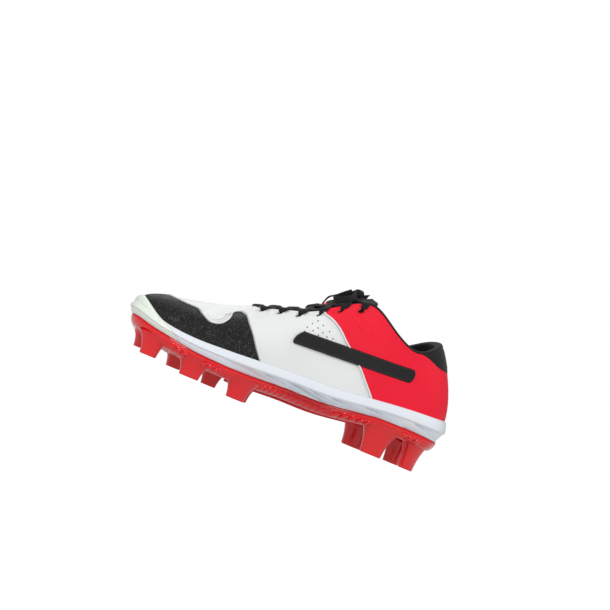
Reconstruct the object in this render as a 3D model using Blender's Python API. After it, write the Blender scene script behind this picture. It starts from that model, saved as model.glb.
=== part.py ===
"""Moulded baseball cleat, right shoe, empty and standing on its studs.

The toe points along -X, the inner side of the foot faces -Y and +Z is up. The last is a set of
section rows from heel to toe. Every piece that follows the foot reads the same rows: the midsole,
the outsole, the upper, its overlays, the insole, the tongue and the lace.
"""

import math

import bmesh
import bpy
import numpy as np
from mathutils import Matrix

for leftover in list(bpy.data.objects):
    bpy.data.objects.remove(leftover, do_unlink=True)

# Main sizes of the shoe, in metres
LENGTH = 0.295
BALL_WIDTH = 0.102
HEEL_WIDTH = 0.078
EDGE_HEIGHT = 0.033
RIM_HEIGHT = 0.050
INSTEP_HEIGHT = 0.115
THROAT_WIDTH = 0.045
COLLAR_WIDTH = 0.059

# Walls and clearances
GAP = 0.0003
WALL = 0.0020
COLLAR_PADDING = 0.0030
OVERLAY = 0.0012
BUMPER = 0.0016
BUMPER_HEIGHT = 0.0042
BUMPER_GAP = 0.0010
PADDED_TAB = 0.0028
INSOLE = 0.0035
TONGUE = 0.0040
TONGUE_CLEARANCE = 0.0007
TONGUE_EXTRA = 0.012
TONGUE_CROWN = 0.0004
TONGUE_SAG = 0.0024
LACE_WIDTH = 0.0060
LACE_THICKNESS = 0.0020
EYELET = 0.0046
EYELET_EDGE = 0.0075
OVERLAY_SEAT = 0.0005
RIM_CLEARANCE = 0.0008
BAND_HEIGHT = 0.062
BAND_WIDTH = 0.012
BAND_SLOPE = 0.06
BAND_ROWS = (3.6, 7.6)

# Midsole and outsole
RIM_INSET = 0.0030
RIM_THICKNESS = 0.0022
RECESS_SHARE = 0.40
RIDGE_SHARE = 0.50
RIDGE_STEP = 0.0014
MIDSOLE_TUCK = 0.0040
PLATE = 0.0095
PLATE_TUCK = 0.0030
PLATE_WAIST = 0.0090
STUD_ROOT = 0.0025
INLAY = 0.0012
INLAY_WIDTH = 0.017
INLAY_SEAT = 0.0006

# One row for each section, from the heel to the toe.
# station: share of LENGTH from the heel. inner, outer: shares of half the local width.
# edge: underside of the midsole, share of EDGE_HEIGHT. rim: its top edge, share of RIM_HEIGHT.
# lean: how far the wall swells out above the rim, share of half the local width.
SECTIONS = (
    # station, inner, outer, edge, rim, lean
    (0.000, 0.000, 0.000, 0.925, 1.000, 0.075),
    (0.030, 0.640, 0.640, 0.930, 0.995, 0.070),
    (0.080, 0.925, 0.925, 0.945, 0.980, 0.055),
    (0.150, 1.000, 1.000, 0.955, 0.956, 0.040),
    (0.240, 0.960, 0.975, 0.935, 0.905, 0.030),
    (0.330, 0.870, 0.920, 0.840, 0.840, 0.020),
    (0.420, 0.760, 0.885, 0.755, 0.795, 0.010),
    (0.510, 0.725, 0.925, 0.745, 0.770, 0.015),
    (0.600, 0.795, 1.030, 0.700, 0.742, 0.030),
    (0.680, 0.873, 1.104, 0.672, 0.710, 0.035),
    (0.760, 0.892, 1.084, 0.685, 0.684, 0.030),
    (0.830, 0.863, 0.976, 0.722, 0.672, 0.025),
    (0.900, 0.765, 0.784, 0.815, 0.700, 0.030),
    (0.950, 0.598, 0.569, 0.890, 0.770, 0.040),
    (0.985, 0.353, 0.304, 0.980, 0.860, 0.080),
    (1.000, 0.030, -0.030, 1.015, 0.900, 0.090),
)

# The opening's edge above each section: round the collar, then along the throat to its front.
# station: share of LENGTH. half: share of half of COLLAR_WIDTH, or of THROAT_WIDTH from the
# sixth section on. height: share of INSTEP_HEIGHT.
# rise and drop: how far the wall leaves the sole upright and reaches the edge, shares of its height.
OPENING = (
    # station, half, height, rise, drop
    (0.118, 0.000, 0.948, 0.30, 0.21),
    (0.120, 0.310, 0.943, 0.30, 0.21),
    (0.134, 0.620, 0.915, 0.31, 0.24),
    (0.165, 0.870, 0.852, 0.36, 0.30),
    (0.215, 1.000, 0.812, 0.42, 0.33),
    (0.293, 0.980, 0.897, 0.42, 0.30),
    (0.366, 1.000, 0.998, 0.40, 0.28),
    (0.438, 0.800, 0.932, 0.42, 0.28),
    (0.515, 0.695, 0.806, 0.45, 0.29),
    (0.580, 0.600, 0.745, 0.48, 0.30),
    (0.630, 0.500, 0.702, 0.50, 0.34),
    (0.655, 0.390, 0.683, 0.52, 0.41),
    (0.668, 0.275, 0.672, 0.52, 0.47),
    (0.674, 0.177, 0.668, 0.53, 0.50),
    (0.677, 0.085, 0.666, 0.54, 0.51),
    (0.678, 0.000, 0.665, 0.54, 0.51),
)
COLLAR_ROWS = 6
REACH = 0.45
THROAT_SHIFT = 0.040

ROWS = len(SECTIONS)
TURN = 2 * (ROWS - 1)
STEPS = 3


def local_width(station):
    """Width that a section's shares belong to: the heel's at the back, the ball's in front."""
    s = np.clip((station - 0.20) / 0.45, 0.0, 1.0)
    return HEEL_WIDTH + (BALL_WIDTH - HEEL_WIDTH) * s * s * (3 - 2 * s)


def closed_spline(values):
    """Closed cubic spline through equally spaced rows: returns a function of the row number."""
    values = np.asarray(values, float)
    count = len(values)
    system = 4 * np.eye(count) + np.roll(np.eye(count), 1, axis=1) + np.roll(np.eye(count), -1, axis=1)
    bend = np.linalg.solve(system, 6 * (np.roll(values, -1, 0) - 2 * values + np.roll(values, 1, 0)))

    def value(row):
        row = np.mod(np.asarray(row, float), count)
        low = np.floor(row).astype(int) % count
        high = (low + 1) % count
        s = row - np.floor(row)
        r = 1 - s
        return (r * values[low] + s * values[high]
                + (r ** 3 - r) * bend[low] / 6 + (s ** 3 - s) * bend[high] / 6)

    return value


def around(column, sign_outer=1.0):
    """A column's values round the shoe: along the inner side to the toe, back along the outer."""
    inner = list(column)
    return inner + [sign_outer * v for v in reversed(inner[1:-1])]


def make_last():
    """Closed splines of the widest outline, the sole's heights and the opening's edge."""
    rows = np.array(SECTIONS)
    top = np.array(OPENING)
    half = local_width(rows[:, 0]) / 2
    inner = -rows[:, 1] * half
    outer = rows[:, 2] * half
    x = (0.5 - rows[:, 0]) * LENGTH
    centre = BALL_WIDTH * THROAT_SHIFT * np.clip((top[:, 0] - 0.2) / 0.45, 0, 1)
    throat = np.arange(ROWS) >= COLLAR_ROWS
    side = top[:, 1] * np.where(throat, THROAT_WIDTH, COLLAR_WIDTH) / 2
    last = {
        "x": closed_spline(around(x)),
        "y": closed_spline(list(inner) + list(outer[1:-1][::-1])),
        "edge": closed_spline(around(rows[:, 3] * EDGE_HEIGHT)),
        "rim": closed_spline(around(rows[:, 4] * RIM_HEIGHT)),
        "lean": closed_spline(around(rows[:, 5] * half)),
        "top_x": closed_spline(around((0.5 - top[:, 0]) * LENGTH)),
        "top_y": closed_spline(list(centre - side) + list((centre + side)[1:-1][::-1])),
        "top_z": closed_spline(around(top[:, 2] * INSTEP_HEIGHT)),
        "rise": closed_spline(around(top[:, 3])),
        "drop": closed_spline(around(top[:, 4])),
    }
    reach = np.linspace(0, TURN, 40 * TURN, endpoint=False)
    across = last["y"](reach)
    last["shift"] = -(across.max() + across.min()) / 2
    along = last["x"](reach)
    last["slide"] = -(along.max() + along.min()) / 2
    return last


LAST = make_last()


def outline(row, inset=0.0):
    """Plan of the shoe's widest line, moved inwards by inset along its own normal."""
    def plan(at):
        return np.stack([LAST["x"](at), LAST["y"](at)], -1)

    nudge = 0.02
    along = plan(row + nudge) - plan(row - nudge)
    along /= np.linalg.norm(along, axis=-1, keepdims=True)
    outward = np.stack([-along[..., 1], along[..., 0]], -1)
    return plan(row) - outward * np.asarray(inset)[..., None], outward


def placed(points):
    """Moves points from the heel's axis to the middle of the whole shoe's box."""
    return points + np.array([LAST["slide"], LAST["shift"], 0.0])


def ring(row, inset, height):
    plan, _ = outline(row, inset)
    return placed(np.concatenate([plan, np.broadcast_to(height, row.shape)[..., None]], -1))


def recess_floor(row):
    """Height of the midsole's footbed, below its rim."""
    rim, edge = LAST["rim"](row), LAST["edge"](row)
    return rim - RECESS_SHARE * (rim - edge)


def wall(row, t, lift=0.0):
    """The upper's outer face: row goes round the shoe, t from the sole (0) to the opening (1).

    Each section is a cubic Bezier curve. It leaves the sole upright, leans out a little, and
    comes in to the opening's edge. lift moves the face along its own normal.
    """
    row, t = np.broadcast_arrays(np.asarray(row, float), np.asarray(t, float))

    def face(r, s):
        plan, outward = outline(r, RIM_INSET + RIM_THICKNESS + GAP)
        foot = np.concatenate([plan, (recess_floor(r) + GAP)[..., None]], -1)
        edge = np.stack([LAST["top_x"](r), LAST["top_y"](r), LAST["top_z"](r)], -1)
        height = (edge[..., 2] - foot[..., 2])[..., None]
        up = np.array([0.0, 0.0, 1.0])
        flat = np.concatenate([outward, np.zeros_like(outward[..., :1])], -1)
        low = foot + up * height * LAST["rise"](r)[..., None] + flat * LAST["lean"](r)[..., None]
        out = (foot - edge) * np.array([1.0, 1.0, 0.0])
        high = edge + out * REACH - up * height * LAST["drop"](r)[..., None]
        s = s[..., None]
        q = 1 - s
        return q ** 3 * foot + 3 * q * q * s * low + 3 * q * s * s * high + s ** 3 * edge

    points = face(row, t)
    if np.any(np.asarray(lift) != 0):
        step = 0.01
        below, above = np.clip(t - step, 0, 1), np.clip(t + step, 0, 1)
        across = face(row, above) - face(row, below)
        along = face(row + step, t) - face(row - step, t)
        normal = np.cross(across, along)
        normal /= np.linalg.norm(normal, axis=-1, keepdims=True)
        points = points + normal * np.broadcast_to(lift, t.shape)[..., None]
    return placed(points)


def wall_thickness(row, t):
    """Wall of the upper, thicker where the collar is padded."""
    side = np.minimum(np.mod(row, TURN), TURN - np.mod(row, TURN))
    rear = np.clip((6.2 - side) / 1.5, 0, 1)
    high = np.clip((t - 0.62) / 0.30, 0, 1)
    return WALL + COLLAR_PADDING * (rear * rear * (3 - 2 * rear)) * (high * high * (3 - 2 * high))


def tinted(name, colour, roughness, metallic=0.0):
    material = bpy.data.materials.new(name)
    material.use_nodes = True
    shader = material.node_tree.nodes["Principled BSDF"]
    shader.inputs["Base Color"].default_value = (*colour, 1.0)
    shader.inputs["Roughness"].default_value = roughness
    shader.inputs["Metallic"].default_value = metallic
    material.diffuse_color = (*colour, 1.0)
    return material


WHITE_LEATHER = tinted("white_leather", (0.80, 0.82, 0.81), 0.45)
BLACK_SYNTHETIC = tinted("black_synthetic", (0.012, 0.012, 0.013), 0.5)
RED_SYNTHETIC = tinted("red_synthetic", (0.75, 0.004, 0.03), 0.4)
WHITE_FOAM = tinted("white_foam", (0.72, 0.77, 0.83), 0.5)
OFF_WHITE_RUBBER = tinted("off_white_rubber", (0.80, 0.86, 0.78), 0.45)
RED_RUBBER = tinted("red_rubber", (0.70, 0.003, 0.010), 0.2)
BLACK_GLOSS = tinted("black_gloss", (0.010, 0.010, 0.011), 0.15)
BLACK_TEXTILE = tinted("black_textile", (0.015, 0.015, 0.016), 0.85)


def add_object(name, points, faces, material, sharp=35.0):
    """One closed body from its points and faces, shaded smooth except at its sharp edges."""
    mesh = bpy.data.meshes.new(name)
    mesh.from_pydata(np.asarray(points).reshape(-1, 3).tolist(), [], faces)
    shell = bmesh.new()
    shell.from_mesh(mesh)
    bmesh.ops.recalc_face_normals(shell, faces=shell.faces)
    shell.to_mesh(mesh)
    shell.free()
    mesh.materials.append(material)
    mesh.shade_smooth()
    mesh.set_sharp_from_angle(angle=math.radians(sharp))
    body = bpy.data.objects.new(name, mesh)
    bpy.context.collection.objects.link(body)
    return body


def strip_faces(count, levels, closed=True):
    """Quads of a grid of levels rings, each of count points."""
    last = count if closed else count - 1
    return [(k * count + i, k * count + (i + 1) % count, (k + 1) * count + (i + 1) % count,
             (k + 1) * count + i) for k in range(levels - 1) for i in range(last)]


def ladder_faces(count, start, flip=False):
    """Closes a ring by rungs from its inner side to its outer side."""
    half = count // 2
    faces = [(start, start + 1, start + count - 1)]
    faces += [(start + i, start + i + 1, start + count - i - 1, start + count - i)
              for i in range(1, half - 1)]
    faces.append((start + half - 1, start + half, start + half + 1))
    return [face[::-1] for face in faces] if flip else faces


def rings_body(name, rings, material, sharp=35.0):
    """A body lofted through closed rings, bottom first, with a ladder over each end."""
    count = len(rings[0])
    faces = strip_faces(count, len(rings))
    faces += ladder_faces(count, 0, flip=True)
    faces += ladder_faces(count, count * (len(rings) - 1))
    return add_object(name, np.concatenate(rings), faces, material, sharp)


ROUND = np.arange(0, TURN, 1 / STEPS)


def make_midsole():
    """Cupped midsole: tucked in at the plate, a stepped ridge at the side, a rim round the upper."""
    edge, rim = LAST["edge"](ROUND), LAST["rim"](ROUND)
    ridge = edge + RIDGE_SHARE * (rim - edge)
    inner = RIM_INSET + RIM_THICKNESS
    rings = [
        ring(ROUND, MIDSOLE_TUCK, edge),
        ring(ROUND, RIDGE_STEP + 0.2 * MIDSOLE_TUCK, edge + 0.55 * (ridge - edge)),
        ring(ROUND, RIDGE_STEP, ridge - 0.0012),
        ring(ROUND, 0.0, ridge),
        ring(ROUND, 0.35 * RIM_INSET, ridge + 0.55 * (rim - ridge)),
        ring(ROUND, RIM_INSET, rim),
        ring(ROUND, inner, rim),
        ring(ROUND, inner, recess_floor(ROUND)),
    ]
    return rings_body("midsole", rings, WHITE_FOAM)


def plate_inset(row):
    """The plate is drawn in at the waist, more on the inner side of the foot."""
    station = 0.5 - LAST["x"](row) / LENGTH
    waist = np.exp(-((station - 0.44) / 0.11) ** 2)
    inner_side = np.where(np.mod(row, TURN) < TURN / 2, 1.0, 0.75)
    return MIDSOLE_TUCK + 0.0004 + PLATE_WAIST * waist * inner_side


# Studs. station: share of LENGTH. across: share of half the local width from the heel's axis.
# tip: height of the tip, share of EDGE_HEIGHT. long, wide: tip size, shares of STUD_TIP.
# turn: degrees about the upright axis, for a stud whose long side follows the outline.
STUD_TIP = 0.0165
STUDS = (
    # name, station, across, tip, long, wide, turn
    ("toe_inner", 0.920, -0.40, 0.182, 0.85, 0.52, -30),
    ("front_inner", 0.800, -0.62, 0.070, 1.00, 0.55, -8),
    ("ball_inner", 0.653, -0.60, 0.000, 0.95, 0.58, 6),
    ("toe_outer", 0.915, 0.36, 0.280, 0.70, 0.50, 30),
    ("front_outer", 0.787, 0.74, 0.130, 0.76, 0.52, 12),
    ("middle_outer", 0.666, 0.84, 0.050, 0.80, 0.52, -2),
    ("ball_outer", 0.575, 0.70, 0.000, 0.90, 0.58, -8),
    ("heel_front_inner", 0.213, -0.62, 0.000, 1.15, 0.60, 0),
    ("heel_front_outer", 0.213, 0.62, 0.000, 1.15, 0.60, 0),
    ("heel_back_inner", 0.090, -0.46, 0.000, 0.85, 0.60, 30),
    ("heel_back_outer", 0.090, 0.46, 0.000, 0.85, 0.60, -30),
)
STUD_SIDES = 10
FLARE = (
    # down: share of the stud's height from its root. spread: factor on the tip's size
    (0.00, 1.95),
    (0.30, 1.48),
    (0.65, 1.15),
    (0.97, 1.00),
    (1.00, 0.92),
)


def edge_at(station):
    """Height of the midsole's underside over a station of the sole."""
    rows = np.linspace(0, ROWS - 1, 20 * ROWS)
    return np.interp(station, 0.5 - LAST["x"](rows) / LENGTH, LAST["edge"](rows))


def make_stud(station, across, tip, long, wide, turn):
    """A moulded stud: a rounded box that flares into the plate, flat at its tip."""
    angle = np.linspace(0, 2 * math.pi, STUD_SIDES, endpoint=False) + math.pi / STUD_SIDES
    power = 0.62
    outline_x = np.sign(np.cos(angle)) * np.abs(np.cos(angle)) ** power * long * STUD_TIP / 2
    outline_y = np.sign(np.sin(angle)) * np.abs(np.sin(angle)) ** power * wide * STUD_TIP / 2
    spin = math.radians(turn)
    x = outline_x * math.cos(spin) - outline_y * math.sin(spin)
    y = outline_x * math.sin(spin) + outline_y * math.cos(spin)
    root = edge_at(station) - GAP - PLATE + STUD_ROOT
    foot = tip * EDGE_HEIGHT
    centre = placed(np.array([(0.5 - station) * LENGTH, across * local_width(station) / 2, 0.0]))
    rings = []
    for down, spread in reversed(FLARE):
        z = np.full(STUD_SIDES, foot + (root - foot) * (1 - down))
        rings.append(np.stack([centre[0] + x * spread, centre[1] + y * spread, z], -1))
    return rings


def hidden_tool(name, points, faces):
    tool = add_object(name, points, faces, RED_RUBBER)
    tool.hide_render = True
    tool.display_type = "WIRE"
    return tool


def add_boolean(body, tool, operation):
    step = body.modifiers.new(tool.name, "BOOLEAN")
    step.object = tool
    step.operation = operation
    step.solver = "EXACT"


def make_outsole():
    """Red plate with its studs, moulded in one. The plate hangs a gap below the midsole."""
    edge = LAST["edge"](ROUND)
    inset = plate_inset(ROUND)
    rings = [
        ring(ROUND, inset + PLATE_TUCK + 0.0030, edge - GAP - PLATE),
        ring(ROUND, inset + PLATE_TUCK, edge - GAP - 0.85 * PLATE),
        ring(ROUND, inset, edge - GAP - 0.35 * PLATE),
        ring(ROUND, inset, edge - GAP),
    ]
    plate = rings_body("outsole", rings, RED_RUBBER)
    for name, *sizes in STUDS:
        stud_rings = make_stud(*sizes)
        faces = strip_faces(STUD_SIDES, len(stud_rings))
        faces.append(tuple(range(STUD_SIDES))[::-1])
        top = STUD_SIDES * (len(stud_rings) - 1)
        faces.append(tuple(range(top, top + STUD_SIDES)))
        add_boolean(plate, hidden_tool("stud_" + name, np.concatenate(stud_rings), faces), "UNION")
    return plate


def make_inlay():
    """Long black capsule let on to the underside of the plate, from the heel to the ball."""
    start, end, count = 0.07, 0.66, 26
    station = np.linspace(start, end, count)
    radius = INLAY_WIDTH / 2
    from_end = np.minimum(station - start, end - station) * LENGTH
    half = radius * np.sqrt(np.clip(1 - (1 - np.clip(from_end / radius, 0, 1)) ** 2, 0.02, 1))
    top = edge_at(station) - GAP - PLATE - INLAY_SEAT
    middle = 0.0045 * np.clip((station - 0.2) / 0.45, 0, 1)
    x = (0.5 - station) * LENGTH
    corners = []
    for side, down in ((-1, 0), (1, 0), (1, 1), (-1, 1)):
        squeeze = 1.0 - 0.06 * down
        corners.append(np.stack([x, middle + side * half * squeeze, top - down * INLAY], -1))
    points = placed(np.stack(corners, 1))
    faces = strip_faces(4, count) + [(3, 2, 1, 0), tuple(4 * (count - 1) + k for k in range(4))]
    return add_object("outsole_inlay", points, faces, BLACK_GLOSS)


def make_insole():
    """Sockliner on the footbed, inside the upper's wall."""
    inset = RIM_INSET + RIM_THICKNESS + GAP + WALL + 2 * GAP
    rows = np.arange(0, TURN, 0.5)
    floor = recess_floor(rows) + GAP
    rings = [ring(rows, inset, floor), ring(rows, inset, floor + 0.7 * INSOLE),
             ring(rows, inset + 0.3 * INSOLE, floor + INSOLE)]
    return rings_body("insole", rings, BLACK_TEXTILE)


WALL_LEVELS = np.array([0.0, 0.09, 0.19, 0.30, 0.42, 0.55, 0.68, 0.80, 0.91, 1.0])


def sheet_body(name, outer, inner, material, closed=False):
    """A body between two grids of points of the same shape, closed along its edges."""
    height, count = outer.shape[:2]
    size = height * count
    faces = strip_faces(count, height, closed)
    faces += [tuple(size + v for v in reversed(face)) for face in strip_faces(count, height, closed)]
    top = size - count
    for i in range(count if closed else count - 1):
        j = (i + 1) % count
        faces.append((size + i, size + j, j, i))
        faces.append((top + i, top + j, size + top + j, size + top + i))
    for k in range(0 if closed else height - 1):
        low, high = k * count, (k + 1) * count
        faces.append((low, high, size + high, size + low))
        low, high = low + count - 1, high + count - 1
        faces.append((high, low, size + low, size + high))
    return add_object(name, np.concatenate([outer.reshape(-1, 3), inner.reshape(-1, 3)]), faces, material)


def make_shell(name, rows, levels, outside, inside, material, closed=False):
    """A wall between two liftings of the upper's face, at the rows and levels of a grid."""
    return sheet_body(name, wall(rows, levels, outside), wall(rows, levels, inside), material, closed)


# Row of each pair of eyelets, from the front of the throat to its top
EYELET_ROWS = (10.40, 9.26, 8.40, 7.66, 7.00, 6.30)


def level_below(row, distance):
    """Level of the wall that lies a distance below the opening's edge, along the wall."""
    levels = np.linspace(1.0, 0.4, 121)
    points = wall(np.full(levels.shape, row), levels)
    run = np.concatenate([[0.0], np.cumsum(np.linalg.norm(np.diff(points, axis=0), axis=1))])
    return np.interp(distance, run, levels)


def make_upper():
    """The hollow upper: one wall round the foot, open below, at the collar and along the throat."""
    rows, levels = np.meshgrid(ROUND, WALL_LEVELS)
    body = make_shell("upper", rows, levels, 0.0, -wall_thickness(rows, levels), WHITE_LEATHER, True)
    for punch in PUNCHES:
        add_boolean(body, punch, "DIFFERENCE")
    return body


def make_punches():
    """Round cutters for the eyelets, a pair for each row, through the wall and what lies on it."""
    punches = []
    for pair, row in enumerate(EYELET_ROWS):
        for side, at in (("inner", row), ("outer", TURN - row)):
            level = np.array([level_below(at, EYELET_EDGE)])
            ends = [wall(np.array([at]), level, lift)[0] for lift in (2.5 * WALL, -3 * WALL)]
            punches.append(make_punch("eyelet_%s_%d" % (side, pair + 1), ends))
    return punches


def make_punch(name, ends):
    """Round cutter from one point to another."""
    sides = 8
    axis = ends[1] - ends[0]
    axis /= np.linalg.norm(axis)
    first = np.cross(axis, [1.0, 0.0, 0.0])
    first /= np.linalg.norm(first)
    second = np.cross(axis, first)
    angle = np.linspace(0, 2 * math.pi, sides, endpoint=False)[:, None]
    circle = (np.cos(angle) * first + np.sin(angle) * second) * EYELET / 2
    points = np.concatenate([ends[0] + circle, ends[1] + circle])
    faces = strip_faces(sides, 2) + [tuple(range(sides))[::-1], tuple(range(sides, 2 * sides))]
    return hidden_tool(name, points, faces)


# Overlays. Each lies on the upper between two levels that change along its rows.
# row: section number round the shoe. low, high: levels of the overlay's lower and upper edges.
TOE_GUARD = (
    # row, low, high
    (8.36, 0.000, 0.100),
    (8.76, 0.000, 0.200),
    (9.26, 0.000, 0.360),
    (10.04, 0.000, 0.640),
    (10.50, 0.000, 0.620),
    (10.80, 0.000, 0.400),
    (11.20, 0.000, 0.360),
    (11.80, 0.000, 0.440),
    (12.10, 1.000, 0.470),
    (12.74, 1.000, 0.515),
    (13.40, 1.000, 0.475),
    (14.20, 1.000, 0.440),
    (15.00, 1.000, 0.425),
)
# The bumper's height over the midsole's rim along its rows, as shares of BUMPER_HEIGHT
BUMPER_TOP = (
    (12.10, 0.53),
    (12.80, 0.53),
    (13.40, 0.70),
    (14.20, 0.91),
    (15.00, 1.00),
)
BUMPER_START = 12.35
QUARTER = (
    (0.00, 0.000, 0.600),
    (1.56, 0.000, 0.635),
    (2.28, 0.000, 0.705),
    (3.12, 0.000, 0.900),
    (3.60, 0.000, 0.975),
    (4.46, 0.000, 0.975),
    (4.70, 0.165, 0.975),
    (5.00, 0.280, 0.975),
    (5.36, 0.370, 0.975),
    (5.94, 0.480, 0.975),
    (6.24, 0.555, 0.975),
    (6.70, 0.675, 0.975),
    (7.14, 0.800, 0.975),
    (7.44, 0.880, 0.975),
)
HEEL_TAB = (
    (0.00, 0.620, 0.985),
    (1.56, 0.655, 0.985),
    (2.28, 0.725, 0.985),
    (3.12, 0.920, 0.985),
)


def level_at(row, height):
    """Level at which the upper's wall reaches a height above the floor."""
    levels = np.linspace(0.0, 1.0, 801)[:, None]
    heights = wall(np.broadcast_to(row, (len(levels), len(row))), levels)[..., 2]
    return levels[np.argmax(heights > height, axis=0), 0]


def bumper_top(rows, above=0.0):
    """Level of the bumper's upper edge, or of a height above it."""
    share = np.interp(rows, *np.transpose(BUMPER_TOP))
    return level_at(rows, LAST["rim"](rows) + share * BUMPER_HEIGHT + above)


def bumper_table():
    rows = np.linspace(BUMPER_START, ROWS - 1, 9)
    return np.stack([rows, np.zeros_like(rows), bumper_top(rows)], -1)


def guard_table():
    """The guard's edges, with its lower edge on the bumper where the table says 1."""
    rows, low, high = np.transpose(TOE_GUARD)
    return np.stack([rows, low * bumper_top(rows, BUMPER_GAP), high], -1)


def side_band_table():
    """A straight band on the side: both edges rise evenly from the forefoot to the heel."""
    rows = np.linspace(*BAND_ROWS, 9)
    low = BAND_HEIGHT + BAND_SLOPE * LAST["x"](rows)
    return np.stack([rows, level_at(rows, low), level_at(rows, low + BAND_WIDTH)], -1)


def overlay(name, table, material, base, thickness, across, mirrored=False, whole=True, per_row=3):
    """Cuts a sheet from the upper's own face between the table's two edges.

    A whole overlay goes round the toe or the heel, from its end on one side to the same on the
    other. One that is not whole stays on one side, and mirrored gives the outer side's copy.
    """
    table = np.array(table)
    start, end = table[0, 0], table[-1, 0]
    count = max(2, int(round((end - start) * per_row))) + 1
    side = np.linspace(start, end, count)
    low, high = np.interp(side, table[:, 0], table[:, 1]), np.interp(side, table[:, 0], table[:, 2])
    if whole and end == ROWS - 1:
        rows = np.concatenate([side, TURN - side[-2::-1]])
        low, high = np.concatenate([low, low[-2::-1]]), np.concatenate([high, high[-2::-1]])
    elif whole:
        rows = np.concatenate([-side[::-1], side[1:]])
        low, high = np.concatenate([low[::-1], low[1:]]), np.concatenate([high[::-1], high[1:]])
    else:
        rows = TURN - side[::-1] if mirrored else side
        low, high = (low[::-1], high[::-1]) if mirrored else (low, high)
    low = np.maximum(low, level_at(rows, LAST["rim"](rows) + RIM_CLEARANCE))
    share = np.linspace(0, 1, across)[:, None]
    levels = low + (high - low) * share
    grid = np.broadcast_to(rows, levels.shape)
    return make_shell(name, grid, levels, base + thickness, base, material)


def arch(row):
    """Height of the tongue's middle over its covered edges: none where it leaves the vamp."""
    out = np.clip((12.2 - row) / 1.9, 0, 1)
    full = np.clip((7.9 - row) / 1.5, 0, 1)
    above = TONGUE_CROWN - TONGUE_SAG * (1 - full * full * (3 - 2 * full))
    return (above + WALL + TONGUE_CLEARANCE) * out


def tongue_section(row, spots, rise, lift):
    """Points across the tongue at one row: under the inner wall, over the middle, down again."""
    below = lift - WALL - TONGUE_CLEARANCE
    inner = wall(np.full(3, row), spots, below)
    outer = wall(np.full(3, TURN - row), spots, below)[::-1]
    up = np.array([0.0, 0.0, rise])
    near = 0.72 * inner[-1] + 0.28 * outer[0] + 0.62 * up
    far = 0.28 * inner[-1] + 0.72 * outer[0] + 0.62 * up
    middle = (inner[-1] + outer[0]) / 2 + up
    return np.stack([*inner, near, middle, far, *outer])


def throat_section(row, lift):
    return tongue_section(row, WALL_LEVELS[-3:], arch(row), lift)


def make_tongue():
    """Padded tongue: held under the vamp, along the eyestays, and a little above the collar."""
    rows = np.arange(12 * STEPS, 6 * STEPS, -1) / STEPS
    faces_of = []
    for lift in (0.0, -TONGUE):
        nose = [tongue_section(14.0, np.array([0.74, 0.80, 0.86]), 0.0, lift),
                tongue_section(13.0, np.array([0.76, 0.83, 0.90]), 0.0, lift)]
        along = np.stack(nose + [throat_section(r, lift) for r in rows])
        climb = along[-1] - along[-3]
        climb *= TONGUE_EXTRA / np.linalg.norm(climb, axis=-1, keepdims=True)
        faces_of.append(np.concatenate([along, along[-1:] + 0.5 * climb, along[-1:] + climb]))
    return sheet_body("tongue", faces_of[0], faces_of[1], BLACK_TEXTILE)


def lace_bed(row, across, lift):
    """A point above the throat: across goes from the inner eyelet (-1) to the outer one (1)."""
    tongue = throat_section(row, 0.0)[3:6] + np.array([-0.45, 0.0, 0.89]) * lift
    spots = []
    for at in (row, TURN - row):
        level = level_below(at, EYELET_EDGE)
        spots.append(wall(np.full(2, at), np.array([level, 1.0]), lift))
    track = np.stack([*spots[0], *tongue, *spots[1][::-1]])
    where = (-1.0, -0.76, -0.36, 0.0, 0.36, 0.76, 1.0)
    return np.array([np.interp(across, where, track[:, k]) for k in range(3)])


LACE_POINTS = 9
LACE_LIFT = OVERLAY_SEAT + OVERLAY + GAP + LACE_THICKNESS / 2


def make_lace_run(name, start_row, end_row, start_across, end_across, lift):
    """One flat run of the lace over the throat, from one row and side to another."""
    share = np.linspace(0.0, 1.0, LACE_POINTS)
    rows = start_row + (end_row - start_row) * share
    across = start_across + (end_across - start_across) * share
    centre = np.stack([lace_bed(r, v, lift) for r, v in zip(rows, across)])
    beside = np.stack([lace_bed(r - 0.05, v, lift) for r, v in zip(rows, across)]) - centre
    along = np.gradient(centre, axis=0)
    along /= np.linalg.norm(along, axis=1, keepdims=True)
    wide = beside - (beside * along).sum(1, keepdims=True) * along
    wide /= np.linalg.norm(wide, axis=1, keepdims=True)
    thick = np.cross(along, wide)
    sides = 6
    angle = np.linspace(0, 2 * math.pi, sides, endpoint=False)[:, None, None]
    loops = centre + np.cos(angle) * wide * LACE_WIDTH / 2 + np.sin(angle) * thick * LACE_THICKNESS / 2
    points = loops.transpose(1, 0, 2).reshape(-1, 3)
    faces = strip_faces(sides, LACE_POINTS) + [tuple(range(sides))]
    faces.append(tuple(sides * (LACE_POINTS - 1) + k for k in range(sides)))
    return add_object(name, points, faces, BLACK_TEXTILE)


def make_lace():
    """The lace's bar, its crossings and the two ties to the knot, joined where they meet."""
    body = make_lace_run("lace_crossings", EYELET_ROWS[0], EYELET_ROWS[0], -1, 1, LACE_LIFT)
    runs = []
    for pair, (low, high) in enumerate(zip(EYELET_ROWS[:-1], EYELET_ROWS[1:])):
        for sign in (1, -1):
            lift = LACE_LIFT + (0.07 + 0.11 * (pair % 2) + 0.2 * (sign < 0)) * LACE_THICKNESS
            runs.append((low, high, -sign, sign, lift))
    for sign in (1, -1):
        runs.append((EYELET_ROWS[-1], EYELET_ROWS[-1] - 0.05, sign, 0.30 * sign, 1.12 * LACE_LIFT))
    for number, run in enumerate(runs):
        tool = make_lace_run("lace_run_%d" % number, *run)
        tool.hide_render = True
        tool.display_type = "WIRE"
        add_boolean(body, tool, "UNION")
    return body


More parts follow.
